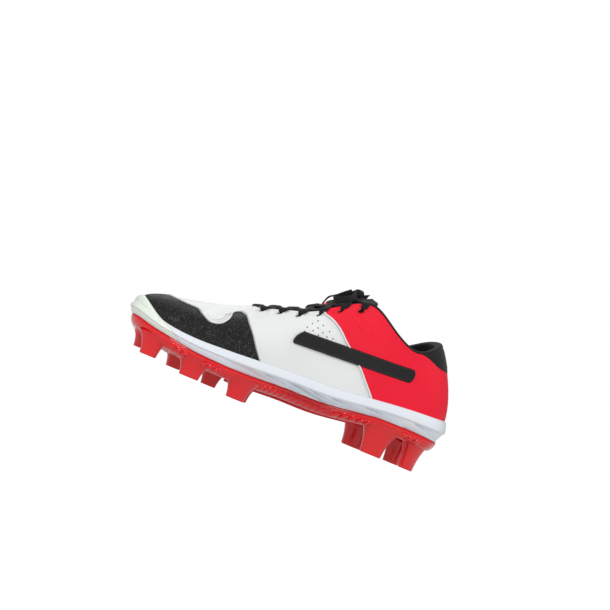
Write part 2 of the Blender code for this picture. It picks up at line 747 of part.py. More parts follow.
# The bow. The knot lies on the tongue between the top eyelets. Loops and ends are routes of points.
KNOT_PLACE = (0.0312, -0.0040, 0.1211)
KNOT_SIZE = (0.0120, 0.0105, 0.0068)
CORD_DIAMETER = 0.0032
CORDS = {
    "lace_loop_inner": (
        (0.0266, -0.0096, 0.1204), (0.0250, -0.0145, 0.1189), (0.0216, -0.0194, 0.1149),
        (0.0170, -0.0215, 0.1123), (0.0124, -0.0194, 0.1098), (0.0099, -0.0141, 0.1083),
        (0.0108, -0.0080, 0.1095), (0.0145, -0.0038, 0.1116), (0.0192, -0.0038, 0.1157),
        (0.0246, -0.0049, 0.1202),
    ),
    "lace_loop_outer": (
        (0.0304, 0.0016, 0.1213), (0.0298, 0.0080, 0.1203), (0.0276, 0.0145, 0.1176),
        (0.0250, 0.0198, 0.1135), (0.0232, 0.0236, 0.1065), (0.0224, 0.0259, 0.0990),
        (0.0229, 0.0281, 0.0905), (0.0264, 0.0298, 0.0832), (0.0322, 0.0304, 0.0802),
        (0.0380, 0.0299, 0.0832), (0.0415, 0.0288, 0.0905), (0.0419, 0.0272, 0.0990),
        (0.0415, 0.0254, 0.1065), (0.0405, 0.0224, 0.1143), (0.0389, 0.0156, 0.1190),
        (0.0370, 0.0082, 0.1214), (0.0356, 0.0016, 0.1221),
    ),
    "lace_end_inner": (
        (0.0262, -0.0002, 0.1205), (0.0246, 0.0052, 0.1184), (0.0215, 0.0105, 0.1158),
        (0.0182, 0.0154, 0.1131), (0.0153, 0.0202, 0.1103), (0.0133, 0.0228, 0.1034),
        (0.0120, 0.0242, 0.0955), (0.0110, 0.0259, 0.0880), (0.0104, 0.0274, 0.0805),
    ),
    "lace_end_outer": (
        (0.0384, -0.0025, 0.1225), (0.0402, 0.0034, 0.1227), (0.0420, 0.0100, 0.1225),
        (0.0439, 0.0166, 0.1206), (0.0454, 0.0219, 0.1156), (0.0462, 0.0262, 0.1082),
        (0.0465, 0.0270, 0.0996), (0.0466, 0.0280, 0.0910), (0.0467, 0.0289, 0.0830),
    ),
}


def smooth_route(points, step):
    """Points a step apart along a smooth curve through a route's points."""
    points = np.array(points)
    count = len(points)
    system = 4 * np.eye(count) + np.eye(count, k=1) + np.eye(count, k=-1)
    system[0, :2], system[-1, -2:] = (1, 0), (0, 1)
    pull = np.zeros_like(points)
    pull[1:-1] = 6 * (points[2:] - 2 * points[1:-1] + points[:-2])
    bend = np.linalg.solve(system, pull)
    at = np.linspace(0, count - 1, 40 * count)
    low = np.minimum(at.astype(int), count - 2)
    s = (at - low)[:, None]
    r = 1 - s
    fine = (r * points[low] + s * points[low + 1]
            + (r ** 3 - r) * bend[low] / 6 + (s ** 3 - s) * bend[low + 1] / 6)
    run = np.concatenate([[0], np.cumsum(np.linalg.norm(np.diff(fine, axis=0), axis=1))])
    marks = np.linspace(0, run[-1], int(round(run[-1] / step)) + 1)
    return np.stack([np.interp(marks, run, fine[:, k]) for k in range(3)], -1)


def make_cords():
    """Loops and ends of the bow, as tubes along their routes."""
    for name, route in CORDS.items():
        path = smooth_route(route, 1.8 * CORD_DIAMETER)
        curve = bpy.data.curves.new(name, "CURVE")
        curve.dimensions = "3D"
        curve.bevel_depth = CORD_DIAMETER / 2
        curve.bevel_resolution = 2
        curve.use_fill_caps = True
        spline = curve.splines.new("POLY")
        spline.points.add(len(path) - 1)
        for point, place in zip(spline.points, path):
            point.co = (*place, 1.0)
        curve.materials.append(BLACK_TEXTILE)
        body = bpy.data.objects.new(name, curve)
        bpy.context.collection.objects.link(body)


def make_knot():
    """The knot, a rounded lump on the tongue."""
    mesh = bpy.data.meshes.new("lace_knot")
    shell = bmesh.new()
    bmesh.ops.create_icosphere(shell, subdivisions=2, radius=0.5)
    shell.to_mesh(mesh)
    shell.free()
    mesh.transform(Matrix.Translation(KNOT_PLACE) @ Matrix.Diagonal((*KNOT_SIZE, 1.0)))
    mesh.materials.append(BLACK_TEXTILE)
    mesh.shade_smooth()
    body = bpy.data.objects.new("lace_knot", mesh)
    bpy.context.collection.objects.link(body)


PUNCHES = make_punches()
make_midsole()
make_outsole()
make_inlay()
make_insole()
make_upper()
make_tongue()
make_lace()
make_knot()
make_cords()
overlay("toe_guard", guard_table(), BLACK_SYNTHETIC, OVERLAY_SEAT, OVERLAY, 5)
overlay("toe_bumper", bumper_table(), OFF_WHITE_RUBBER, OVERLAY_SEAT, BUMPER, 3)
quarter = overlay("heel_quarter", QUARTER, RED_SYNTHETIC, OVERLAY_SEAT, OVERLAY, 6)
for punch in PUNCHES[-4:]:
    add_boolean(quarter, punch, "DIFFERENCE")
overlay("heel_tab", HEEL_TAB, BLACK_TEXTILE, OVERLAY_SEAT, PADDED_TAB, 3)
over_quarter = OVERLAY_SEAT + OVERLAY + OVERLAY_SEAT
for side, mirrored in (("inner", False), ("outer", True)):
    overlay("side_band_" + side, side_band_table(), BLACK_SYNTHETIC, over_quarter, OVERLAY, 3, mirrored, False)
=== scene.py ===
"""A moulded baseball cleat, right shoe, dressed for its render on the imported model.

The file follows the shoe as it is put together: the lace's bow, the upper on its last, the lining,
the overlays and their seams, the tongue and the lace, the insole, the midsole and the outsole.
"""

import math

import bmesh
import bpy
import numpy as np
from mathutils import Matrix, Vector


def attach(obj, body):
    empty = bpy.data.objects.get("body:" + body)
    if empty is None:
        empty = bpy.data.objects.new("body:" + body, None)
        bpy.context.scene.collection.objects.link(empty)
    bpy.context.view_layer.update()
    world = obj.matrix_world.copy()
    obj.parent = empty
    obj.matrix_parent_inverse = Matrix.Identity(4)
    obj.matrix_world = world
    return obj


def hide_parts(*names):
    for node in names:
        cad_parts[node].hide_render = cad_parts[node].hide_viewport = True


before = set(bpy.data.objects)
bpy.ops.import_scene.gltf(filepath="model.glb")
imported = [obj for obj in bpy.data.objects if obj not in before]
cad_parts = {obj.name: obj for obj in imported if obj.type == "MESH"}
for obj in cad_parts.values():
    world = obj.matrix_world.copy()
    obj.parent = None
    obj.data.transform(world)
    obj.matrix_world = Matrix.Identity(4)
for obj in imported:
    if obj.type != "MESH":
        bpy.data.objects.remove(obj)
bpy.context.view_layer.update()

# Camera. It keeps the photograph's angle to the shoe and its roll, and stops just above the floor.
VIEW_TURN = math.radians(-18.0)
VIEW_RISE = math.radians(-2.64)
VIEW_ROLL = math.radians(22.46)
VIEW_DISTANCE = 1.8
VIEW_WIDTH = 0.5096
AIM_RIGHT = -0.0078
AIM_UP = 0.0950

back = Vector((math.sin(VIEW_TURN) * math.cos(VIEW_RISE),
               -math.cos(VIEW_TURN) * math.cos(VIEW_RISE), math.sin(VIEW_RISE)))
right = Vector((math.cos(VIEW_TURN), math.sin(VIEW_TURN), 0.0))
up = back.cross(right)
rolled_right = right * math.cos(VIEW_ROLL) + up * math.sin(VIEW_ROLL)
rolled_up = up * math.cos(VIEW_ROLL) - right * math.sin(VIEW_ROLL)
lens = bpy.data.cameras.new("camera")
lens.sensor_width = 36.0
lens.lens = lens.sensor_width * VIEW_DISTANCE / VIEW_WIDTH
lens.clip_start = 0.01
camera = bpy.data.objects.new("camera", lens)
turn = Matrix((rolled_right, rolled_up, back)).transposed().to_4x4()
place = right * AIM_RIGHT + up * AIM_UP + back * VIEW_DISTANCE
camera.matrix_world = Matrix.Translation(place) @ turn
bpy.context.collection.objects.link(camera)
bpy.context.scene.camera = camera

# Floor and light: a plain pale floor in a white room, with large soft lamps over the toe's side.
# The camera sees the floor and the room whiter than they light the shoe, and gloss sees a dim room.
FLOOR_SIZE = 30.0
FLOOR_GREY = (0.25, 0.25, 0.25, 1.0)
FLOOR_GLOW = 0.42
FLOOR_GLOW_SEEN = 0.42
ROOM_LIGHT = 0.74
ROOM_LIGHT_IN_GLOSS = -0.55
WHITE = (1.0, 1.0, 1.0, 1.0)


def glow_by_ray(tree, kind, added, base, socket):
    """Strength = base, plus added for rays of one kind. Returns the node that knows the rays."""
    ray = tree.nodes.new("ShaderNodeLightPath")
    total = tree.nodes.new("ShaderNodeMath")
    total.operation = "MULTIPLY_ADD"
    total.inputs[1].default_value = added
    total.inputs[2].default_value = base
    tree.links.new(ray.outputs[kind], total.inputs[0])
    tree.links.new(total.outputs[0], socket)
    return ray


floor_mesh = bpy.data.meshes.new("floor")
half = FLOOR_SIZE / 2
corners = [(-half, -half, 0), (half, -half, 0), (half, half, 0), (-half, half, 0)]
floor_mesh.from_pydata(corners, [], [(0, 1, 2, 3)])
floor = bpy.data.objects.new("floor", floor_mesh)
bpy.context.collection.objects.link(floor)
floor_paint = bpy.data.materials.new("floor_white")
floor_paint.use_nodes = True
floor_sockets = floor_paint.node_tree.nodes["Principled BSDF"].inputs
floor_sockets["Base Color"].default_value = FLOOR_GREY
floor_sockets["Roughness"].default_value = 0.8
floor_sockets["Specular IOR Level"].default_value = 0.0
floor_sockets["Emission Color"].default_value = WHITE
glow_by_ray(floor_paint.node_tree, "Is Camera Ray", FLOOR_GLOW_SEEN, FLOOR_GLOW,
            floor_sockets["Emission Strength"])
floor_mesh.materials.append(floor_paint)

room = bpy.data.worlds.new("room")
bpy.context.scene.world = room
room.use_nodes = True
room_nodes = room.node_tree.nodes
room_light = room_nodes["Background"]
room_light.inputs["Color"].default_value = WHITE
ray = glow_by_ray(room.node_tree, "Is Glossy Ray", ROOM_LIGHT_IN_GLOSS, ROOM_LIGHT,
                  room_light.inputs["Strength"])
seen = room_nodes.new("ShaderNodeBackground")
seen.inputs["Color"].default_value = WHITE
seen.inputs["Strength"].default_value = 1.0
choose = room_nodes.new("ShaderNodeMixShader")
room.node_tree.links.new(ray.outputs["Is Camera Ray"], choose.inputs["Fac"])
room.node_tree.links.new(room_light.outputs[0], choose.inputs[1])
room.node_tree.links.new(seen.outputs[0], choose.inputs[2])
room.node_tree.links.new(choose.outputs[0], room_nodes["World Output"].inputs["Surface"])
bpy.context.scene.view_settings.view_transform = "Standard"


def soft_lamp(name, at, aim, size, watts):
    """Square area lamp at a point, turned so that its light falls on the aim."""
    lamp = bpy.data.lights.new(name, "AREA")
    lamp.size = size
    lamp.energy = watts
    body = bpy.data.objects.new(name, lamp)
    body.location = at
    body.rotation_euler = (Vector(aim) - Vector(at)).to_track_quat("-Z", "Y").to_euler()
    bpy.context.collection.objects.link(body)


soft_lamp("lamp_key", (-0.75, -1.05, 1.05), (0.0, 0.0, 0.05), 0.45, 7.4)
soft_lamp("lamp_heel", (0.95, -0.65, 0.75), (0.05, 0.0, 0.05), 0.6, 1.6)
soft_lamp("lamp_back", (0.1, 1.1, 0.9), (0.0, 0.0, 0.06), 0.7, 2.6)
soft_lamp("lamp_low", (-0.35, -1.1, 0.22), (0.0, 0.0, 0.02), 0.35, 0.90)

# Bow of the lace. A flat woven polyester lace, tied over the tongue in one knot with two loops and
# two ends. Each stretch follows the route that its solid has, and the ends are cut into aglets.
LACE_WIDTH = 0.0058
LACE_THICKNESS = 0.0014
LACE_BLACK = (0.008, 0.008, 0.009, 1.0)
BOW_STEP = 0.0009
BOW = {
    "lace_loop_inner": (
        (0.0266, -0.0096, 0.1204), (0.0250, -0.0145, 0.1189), (0.0216, -0.0194, 0.1149),
        (0.0170, -0.0215, 0.1123), (0.0124, -0.0194, 0.1098), (0.0099, -0.0141, 0.1083),
        (0.0108, -0.0080, 0.1095), (0.0145, -0.0038, 0.1116), (0.0192, -0.0038, 0.1157),
        (0.0246, -0.0049, 0.1202),
    ),
    "lace_loop_outer": (
        (0.0304, 0.0016, 0.1213), (0.0298, 0.0080, 0.1203), (0.0276, 0.0145, 0.1176),
        (0.0250, 0.0198, 0.1135), (0.0232, 0.0236, 0.1065), (0.0224, 0.0259, 0.0990),
        (0.0229, 0.0281, 0.0905), (0.0264, 0.0298, 0.0832), (0.0322, 0.0304, 0.0802),
        (0.0380, 0.0299, 0.0832), (0.0415, 0.0288, 0.0905), (0.0419, 0.0272, 0.0990),
        (0.0415, 0.0254, 0.1065), (0.0405, 0.0224, 0.1143), (0.0389, 0.0156, 0.1190),
        (0.0370, 0.0082, 0.1214), (0.0356, 0.0016, 0.1221),
    ),
    "lace_end_inner": (
        (0.0262, -0.0002, 0.1205), (0.0246, 0.0052, 0.1184), (0.0215, 0.0105, 0.1158),
        (0.0182, 0.0154, 0.1131), (0.0153, 0.0202, 0.1103), (0.0133, 0.0228, 0.1034),
        (0.0120, 0.0242, 0.0955), (0.0110, 0.0259, 0.0880), (0.0104, 0.0274, 0.0805),
    ),
    "lace_end_outer": (
        (0.0384, -0.0025, 0.1225), (0.0402, 0.0034, 0.1227), (0.0420, 0.0100, 0.1225),
        (0.0439, 0.0166, 0.1206), (0.0454, 0.0219, 0.1156), (0.0462, 0.0262, 0.1082),
        (0.0465, 0.0270, 0.0996), (0.0466, 0.0280, 0.0910), (0.0467, 0.0289, 0.0830),
    ),
}
BOW_FACING = Vector((-0.45, 0.0, 0.89))
AGLET_LENGTH = 0.014
AGLET_WIDTH = 0.0028
AGLET_THICKNESS = 0.0023
KNOT_PLACE = np.array([0.0312, -0.0040, 0.1211])
KNOT_SIZE = np.array([0.0120, 0.0105, 0.0068])


def run_along(points):
    """How far along a line each of its points lies."""
    return np.concatenate([[0], np.cumsum(np.linalg.norm(np.diff(points, axis=0), axis=1))])


def pick(marks, at, values):
    """Rows of values read off at the marks, where row k stands at at[k]."""
    return np.stack([np.interp(marks, at, values[:, k]) for k in range(values.shape[1])], -1)


def drawn(values, power):
    """Cosines or sines drawn towards their sign: |value| ** power with the value's sign."""
    return np.sign(values) * np.abs(values) ** power


def smooth_route(points, step):
    """Points a step apart along the natural cubic spline through a route's points."""
    points = np.array(points)
    count = len(points)
    system = 4 * np.eye(count) + np.eye(count, k=1) + np.eye(count, k=-1)
    system[0, :2], system[-1, -2:] = (1, 0), (0, 1)
    pull = np.zeros_like(points)
    pull[1:-1] = 6 * (points[2:] - 2 * points[1:-1] + points[:-2])
    bend = np.linalg.solve(system, pull)
    at = np.linspace(0, count - 1, 60 * count)
    low = np.minimum(at.astype(int), count - 2)
    s = (at - low)[:, None]
    r = 1 - s
    fine = (r * points[low] + s * points[low + 1]
            + (r ** 3 - r) * bend[low] / 6 + (s ** 3 - s) * bend[low + 1] / 6)
    run = run_along(fine)
    return pick(np.linspace(0, run[-1], int(round(run[-1] / step)) + 1), run, fine)


def unit(vectors):
    return vectors / np.maximum(np.linalg.norm(vectors, axis=-1, keepdims=True), 1e-12)


def put_mesh(name, points, quads, material, sharp, extra=(), lengths=None):
    """Object from arrays of points and quads. extra holds faces with other counts of corners."""
    mesh = bpy.data.meshes.new(name)
    quads = np.asarray(quads, np.int32).reshape(-1, 4)
    corners = np.concatenate([quads.ravel()] + [np.asarray(face, np.int32) for face in extra])
    starts = np.arange(0, quads.size, 4)
    for face in extra:
        last = starts[-1] + (4 if len(starts) == len(quads) else size) if len(starts) else 0
        starts = np.append(starts, last)
        size = len(face)
    mesh.vertices.add(len(points))
    mesh.vertices.foreach_set("co", np.asarray(points, np.float32).ravel())
    mesh.loops.add(len(corners))
    mesh.loops.foreach_set("vertex_index", corners)
    mesh.polygons.add(len(starts))
    mesh.polygons.foreach_set("loop_start", starts.astype(np.int32))
    if lengths is not None:
        layer = mesh.uv_layers.new(name="lay")
        layer.data.foreach_set("uv", np.asarray(lengths, np.float32)[corners].ravel())
    mesh.update(calc_edges=True)
    mesh.validate()
    mesh.materials.append(material)
    mesh.shade_smooth()
    mesh.set_sharp_from_angle(angle=math.radians(sharp))
    body = bpy.data.objects.new(name, mesh)
    bpy.context.collection.objects.link(body)
    return body


def grid_quads(count, levels, closed=True, start=0):
    """Quads between neighbouring points of a grid of levels rows with count points each."""
    wide = count if closed else count - 1
    i, k = np.meshgrid(np.arange(wide), np.arange(levels - 1))
    j = (i + 1) % count
    quads = np.stack([k * count + i, k * count + j, (k + 1) * count + j, (k + 1) * count + i], -1)
    return quads.reshape(-1, 4) + start


def flat_tube(path, wide, width, thickness, sides=14):
    """Oval section carried along a path, wide along the given directions.

    Point = path + wide * width / 2 * cos a + thick * thickness / 2 * sin a, each cosine and sine
    drawn towards its sign for a flatter oval. Returns points, (length, across) and quads.
    """
    along = unit(np.gradient(path, axis=0))
    wide = unit(wide - (wide * along).sum(1, keepdims=True) * along)
    thick = np.cross(along, wide)
    angle = np.linspace(0, 2 * math.pi, sides, endpoint=False)
    flat_cos, flat_sin = drawn(np.cos(angle), 0.75), drawn(np.sin(angle), 0.75)
    width = np.broadcast_to(width, len(path))[:, None, None] / 2
    thickness = np.broadcast_to(thickness, len(path))[:, None, None] / 2
    points = (path[:, None] + wide[:, None] * flat_cos[None, :, None] * width
              + thick[:, None] * flat_sin[None, :, None] * thickness)
    lay = np.stack(np.broadcast_arrays(run_along(path)[:, None], flat_cos[None] * width[:, :, 0]), -1)
    return points.reshape(-1, 3), lay.reshape(-1, 2), grid_quads(sides, len(path)), sides


def lace_piece(name, tubes, material):
    """One mesh of several flat tubes, with a face over each end."""
    points, lays, quads, caps, start = [], [], [], [], 0
    for tube_points, lay, tube_quads, sides in tubes:
        points.append(tube_points)
        lays.append(lay)
        quads.append(tube_quads + start)
        end = start + len(tube_points)
        caps.append(list(range(start, start + sides))[::-1])
        caps.append(list(range(end - sides, end)))
        start = end
    return put_mesh(name, np.concatenate(points), np.concatenate(quads), material, 50.0, caps,
                    lengths=np.concatenate(lays))


def new_paint(name, colour, roughness, coat=0.0, sheen=0.0, gloss=0.5):
    """Material with its fixed values on the shader's own sockets."""
    material = bpy.data.materials.new(name)
    material.use_nodes = True
    shader = material.node_tree.nodes["Principled BSDF"]
    shader.inputs["Base Color"].default_value = colour
    shader.inputs["Roughness"].default_value = roughness
    shader.inputs["Coat Weight"].default_value = coat
    shader.inputs["Coat Roughness"].default_value = 0.12
    shader.inputs["Sheen Weight"].default_value = sheen
    shader.inputs["Specular IOR Level"].default_value = gloss
    material.diffuse_color = colour
    return material, material.node_tree, shader


def feed(tree, socket, value):
    """A socket as value is linked, anything else is set."""
    if isinstance(value, bpy.types.NodeSocket):
        tree.links.new(value, socket)
    else:
        socket.default_value = value


def add_node(tree, kind, **values):
    """Node with its properties set and its inputs fed."""
    node = tree.nodes.new(kind)
    for key, value in values.items():
        if hasattr(node, key):
            setattr(node, key, value)
        else:
            feed(tree, node.inputs[key.replace("_", " ")], value)
    return node


def calc(tree, operation, *values):
    """Math node's result."""
    node = add_node(tree, "ShaderNodeMath", operation=operation)
    for socket, value in zip(node.inputs, values):
        feed(tree, socket, value)
    return node.outputs[0]


def ranged(tree, value, low, high):
    """0 below low, 1 above high, and even in between."""
    node = add_node(tree, "ShaderNodeMapRange", Value=value, From_Min=low, From_Max=high)
    return node.outputs["Result"]


def object_place(tree):
    return add_node(tree, "ShaderNodeTexCoord").outputs["Object"]


def new_group(name, inputs, outputs):
    """Shader node group with float or vector sockets; returns it with its two end nodes."""
    group = bpy.data.node_groups.new(name, "ShaderNodeTree")
    for label, kind in inputs:
        group.interface.new_socket(label, in_out="INPUT", socket_type=kind)
    for label, kind in outputs:
        group.interface.new_socket(label, in_out="OUTPUT", socket_type=kind)
    return group, group.nodes.new("NodeGroupInput"), group.nodes.new("NodeGroupOutput")


def make_weave_group():
    """Herringbone of a flat lace. Height = saw of (length + slant * distance from the middle)."""
    group, given, put = new_group(
        "lace_weave", [("Lay", "NodeSocketVector"), ("Pitch", "NodeSocketFloat")],
        [("Height", "NodeSocketFloat"), ("Thread", "NodeSocketFloat")])
    parts = add_node(group, "ShaderNodeSeparateXYZ", Vector=given.outputs["Lay"])
    away = calc(group, "ABSOLUTE", parts.outputs["Y"])
    slanted = calc(group, "MULTIPLY_ADD", away, 1.1, parts.outputs["X"])
    steps = calc(group, "DIVIDE", slanted, given.outputs["Pitch"])
    saw = calc(group, "PINGPONG", steps, 0.5)
    ribs = calc(group, "DIVIDE", away, given.outputs["Pitch"])
    rows = calc(group, "PINGPONG", ribs, 0.5)
    both = calc(group, "MULTIPLY_ADD", rows, 0.7, saw)
    group.links.new(both, put.inputs["Height"])
    group.links.new(saw, put.inputs["Thread"])
    return group


LACE_WEAVE = make_weave_group()


def grouped(tree, group, **values):
    node = tree.nodes.new("ShaderNodeGroup")
    node.node_tree = group
    for key, value in values.items():
        feed(tree, node.inputs[key], value)
    return node


def add_bump(tree, shader, height, distance, over=None):
    """Bump of a height given in parts of a distance in metres."""
    bump = add_node(tree, "ShaderNodeBump", Distance=distance, Height=height)
    if over is not None:
        tree.links.new(over, bump.inputs["Normal"])
    tree.links.new(bump.outputs["Normal"], shader.inputs["Normal"])


def mix_colour(tree, factor, first, second):
    node = add_node(tree, "ShaderNodeMix", data_type="RGBA")
    for socket, value in ((node.inputs[0], factor), (node.inputs[6], first), (node.inputs[7], second)):
        feed(tree, socket, value)
    return node.outputs[2]


def make_lace_paint():
    material, tree, shader = new_paint("lace_textile", LACE_BLACK, 0.75, sheen=0.08, gloss=0.25)
    lay = add_node(tree, "ShaderNodeUVMap", uv_map="lay")
    weave = grouped(tree, LACE_WEAVE, Lay=lay.outputs["UV"], Pitch=0.0011)
    tone = mix_colour(tree, weave.outputs["Thread"], LACE_BLACK, (0.028, 0.028, 0.032, 1.0))
    tree.links.new(tone, shader.inputs["Base Color"])
    add_bump(tree, shader, weave.outputs["Height"], 0.0005)
    return material


def fit(piece, slot, *nodes):
    """Every piece of the shoe rides on its one body."""
    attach(piece, "root")
    if nodes:
        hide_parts(*nodes)
    return piece


LACE_PAINT = make_lace_paint()
aglet_paint, _, _ = new_paint("aglet_plastic", (0.03, 0.03, 0.033, 1.0), 0.18, coat=0.6)


def bow_lay(path, loop):
    """Directions across the lace: the loop's plane's normal, or level across an end."""
    if loop:
        spread = path - path.mean(0)
        normal = np.linalg.svd(spread, full_matrices=False)[2][2]
        return np.broadcast_to(normal, path.shape)
    return np.cross(np.gradient(path, axis=0), np.array(BOW_FACING))


def make_bow():
    """Loops and ends of the bow. An end's last stretch is an aglet of its own."""
    for node, route in BOW.items():
        path = smooth_route(route, BOW_STEP)
        loop = "loop" in node
        width = np.full(len(path), LACE_WIDTH)
        if not loop:
            run = np.arange(len(path)) * BOW_STEP
            taper = [AGLET_LENGTH - 0.001, AGLET_LENGTH + 0.006]
            width = np.interp(run[-1] - run, taper, [AGLET_WIDTH, LACE_WIDTH])
        tube = flat_tube(path, bow_lay(path, loop), width, LACE_THICKNESS)
        piece = lace_piece(node + "_woven", [tube], LACE_PAINT)
        fit(piece, "lace_textile", node)
        if not loop:
            tip = path[-int(AGLET_LENGTH / BOW_STEP):]
            sleeve = flat_tube(tip, bow_lay(tip, False), 1.08 * AGLET_WIDTH, AGLET_THICKNESS)
            fit(lace_piece(node + "_aglet", [sleeve], aglet_paint), "black_gloss")


make_bow()


def make_knot():
    """Knot: a flat tube along a trefoil, squeezed into the knot's size and wrapped by a band."""
    angle = np.linspace(0, 2 * math.pi, 161)
    trefoil = np.stack([np.sin(angle) + 2 * np.sin(2 * angle), np.cos(angle) - 2 * np.cos(2 * angle),
                        -np.sin(3 * angle)], -1) * np.array([0.30, 0.30, 0.42]) / 2
    room_left = KNOT_SIZE - np.array([0.0030, 0.0030, 0.0016])
    path = KNOT_PLACE + trefoil * room_left * np.array([1.05, 1.05, 1.3])
    wide = unit(np.gradient(path, axis=0))
    wide = np.cross(wide, unit(path - KNOT_PLACE + np.array([0, 0, 1e-4])))
    body = flat_tube(path, wide, 0.0046, 0.0016)
    band = np.stack([np.zeros_like(angle), np.cos(angle), np.sin(angle)], -1) * KNOT_SIZE / 2 * 0.94
    across = np.broadcast_to([1.0, 0.25, 0.0], band.shape)
    wrap = flat_tube(KNOT_PLACE + band, across, 0.0052, 0.0014)
    fit(lace_piece("lace_knot_woven", [body, wrap], LACE_PAINT), "lace_textile", "lace_knot")


make_knot()

# Upper on its last. One wall of white synthetic leather round the foot, open below, at the collar
# and along the throat, with punched eyelets. The last's sections are the part's own.
LENGTH = 0.295
BALL_WIDTH = 0.102
HEEL_WIDTH = 0.078
EDGE_HEIGHT = 0.033
RIM_HEIGHT = 0.050
INSTEP_HEIGHT = 0.115
THROAT_WIDTH = 0.045
COLLAR_WIDTH = 0.059
GAP = 0.0003
RIM_INSET = 0.0030
RIM_THICKNESS = 0.0022
RECESS_SHARE = 0.40
COLLAR_ROWS = 6
REACH = 0.45
THROAT_SHIFT = 0.040
SECTIONS = (
    # station, inner, outer, edge, rim, lean
    (0.000, 0.000, 0.000, 0.925, 1.000, 0.075),
    (0.030, 0.640, 0.640, 0.930, 0.995, 0.070),
    (0.080, 0.925, 0.925, 0.945, 0.980, 0.055),
    (0.150, 1.000, 1.000, 0.955, 0.956, 0.040),
    (0.240, 0.960, 0.975, 0.935, 0.905, 0.030),
    (0.330, 0.870, 0.920, 0.840, 0.840, 0.020),
    (0.420, 0.760, 0.885, 0.755, 0.795, 0.010),
    (0.510, 0.725, 0.925, 0.745, 0.770, 0.015),
    (0.600, 0.795, 1.030, 0.700, 0.742, 0.030),
    (0.680, 0.873, 1.104, 0.672, 0.710, 0.035),
    (0.760, 0.892, 1.084, 0.685, 0.684, 0.030),
    (0.830, 0.863, 0.976, 0.722, 0.672, 0.025),
    (0.900, 0.765, 0.784, 0.815, 0.700, 0.030),
    (0.950, 0.598, 0.569, 0.890, 0.770, 0.040),
    (0.985, 0.353, 0.304, 0.980, 0.860, 0.080),
    (1.000, 0.030, -0.030, 1.015, 0.900, 0.090),
)
OPENING = (
    # station, half, height, rise, drop
    (0.118, 0.000, 0.948, 0.30, 0.21),
    (0.120, 0.310, 0.943, 0.30, 0.21),
    (0.134, 0.620, 0.915, 0.31, 0.24),
    (0.165, 0.870, 0.852, 0.36, 0.30),
    (0.215, 1.000, 0.812, 0.42, 0.33),
    (0.293, 0.980, 0.897, 0.42, 0.30),
    (0.366, 1.000, 0.998, 0.40, 0.28),
    (0.438, 0.800, 0.932, 0.42, 0.28),
    (0.515, 0.695, 0.806, 0.45, 0.29),
    (0.580, 0.600, 0.745, 0.48, 0.30),
    (0.630, 0.500, 0.702, 0.50, 0.34),
    (0.655, 0.390, 0.683, 0.52, 0.41),
    (0.668, 0.275, 0.672, 0.52, 0.47),
    (0.674, 0.177, 0.668, 0.53, 0.50),
    (0.677, 0.085, 0.666, 0.54, 0.51),
    (0.678, 0.000, 0.665, 0.54, 0.51),
)
ROWS = len(SECTIONS)
TURN = 2 * (ROWS - 1)
EYELET = 0.0046
EYELET_EDGE = 0.0075
EYELET_ROWS = (10.40, 9.26, 8.40, 7.66, 7.00, 6.30)
LEATHER = 0.0012
CELL = (1 / 26, 1 / 90)
SHARP = 42.0


def local_width(station):
    """Heel's width at the back, the ball's in front, with a smooth step between."""
    s = np.clip((station - 0.20) / 0.45, 0.0, 1.0)
    return HEEL_WIDTH + (BALL_WIDTH - HEEL_WIDTH) * s * s * (3 - 2 * s)


def closed_spline(values):
    """Closed cubic spline through equally spaced rows, as a function of the row number."""
    values = np.asarray(values, float)
    count = len(values)
    system = 4 * np.eye(count) + np.roll(np.eye(count), 1, axis=1) + np.roll(np.eye(count), -1, axis=1)
    bend = np.linalg.solve(system, 6 * (np.roll(values, -1, 0) - 2 * values + np.roll(values, 1, 0)))

    def value(row):
        row = np.mod(np.asarray(row, float), count)
        low = np.floor(row).astype(int) % count
        high = (low + 1) % count
        s = row - np.floor(row)
        r = 1 - s
        return (r * values[low] + s * values[high]
                + (r ** 3 - r) * bend[low] / 6 + (s ** 3 - s) * bend[high] / 6)

    return value


def around(column):
    """A column's values round the shoe: along the inner side to the toe, back along the outer."""
    inner = list(column)
    return inner + list(reversed(inner[1:-1]))


def make_last():
    """Closed splines of the widest outline, the sole's heights and the opening's edge."""
    rows = np.array(SECTIONS)
    top = np.array(OPENING)
    half_width = local_width(rows[:, 0]) / 2
    centre = BALL_WIDTH * THROAT_SHIFT * np.clip((top[:, 0] - 0.2) / 0.45, 0, 1)
    throat = np.arange(ROWS) >= COLLAR_ROWS
    side = top[:, 1] * np.where(throat, THROAT_WIDTH, COLLAR_WIDTH) / 2
    inner, outer = -rows[:, 1] * half_width, rows[:, 2] * half_width
    last = {
        "x": closed_spline(around((0.5 - rows[:, 0]) * LENGTH)),
        "y": closed_spline(list(inner) + list(outer[1:-1][::-1])),
        "edge": closed_spline(around(rows[:, 3] * EDGE_HEIGHT)),
        "rim": closed_spline(around(rows[:, 4] * RIM_HEIGHT)),
        "lean": closed_spline(around(rows[:, 5] * half_width)),
        "top_x": closed_spline(around((0.5 - top[:, 0]) * LENGTH)),
        "top_y": closed_spline(list(centre - side) + list((centre + side)[1:-1][::-1])),
        "top_z": closed_spline(around(top[:, 2] * INSTEP_HEIGHT)),
        "rise": closed_spline(around(top[:, 3])),
        "drop": closed_spline(around(top[:, 4])),
    }
    reach = np.linspace(0, TURN, 40 * TURN, endpoint=False)
    across, along = last["y"](reach), last["x"](reach)
    last["offset"] = -np.array([(along.max() + along.min()) / 2, (across.max() + across.min()) / 2, 0.0])
    return last


LAST = make_last()


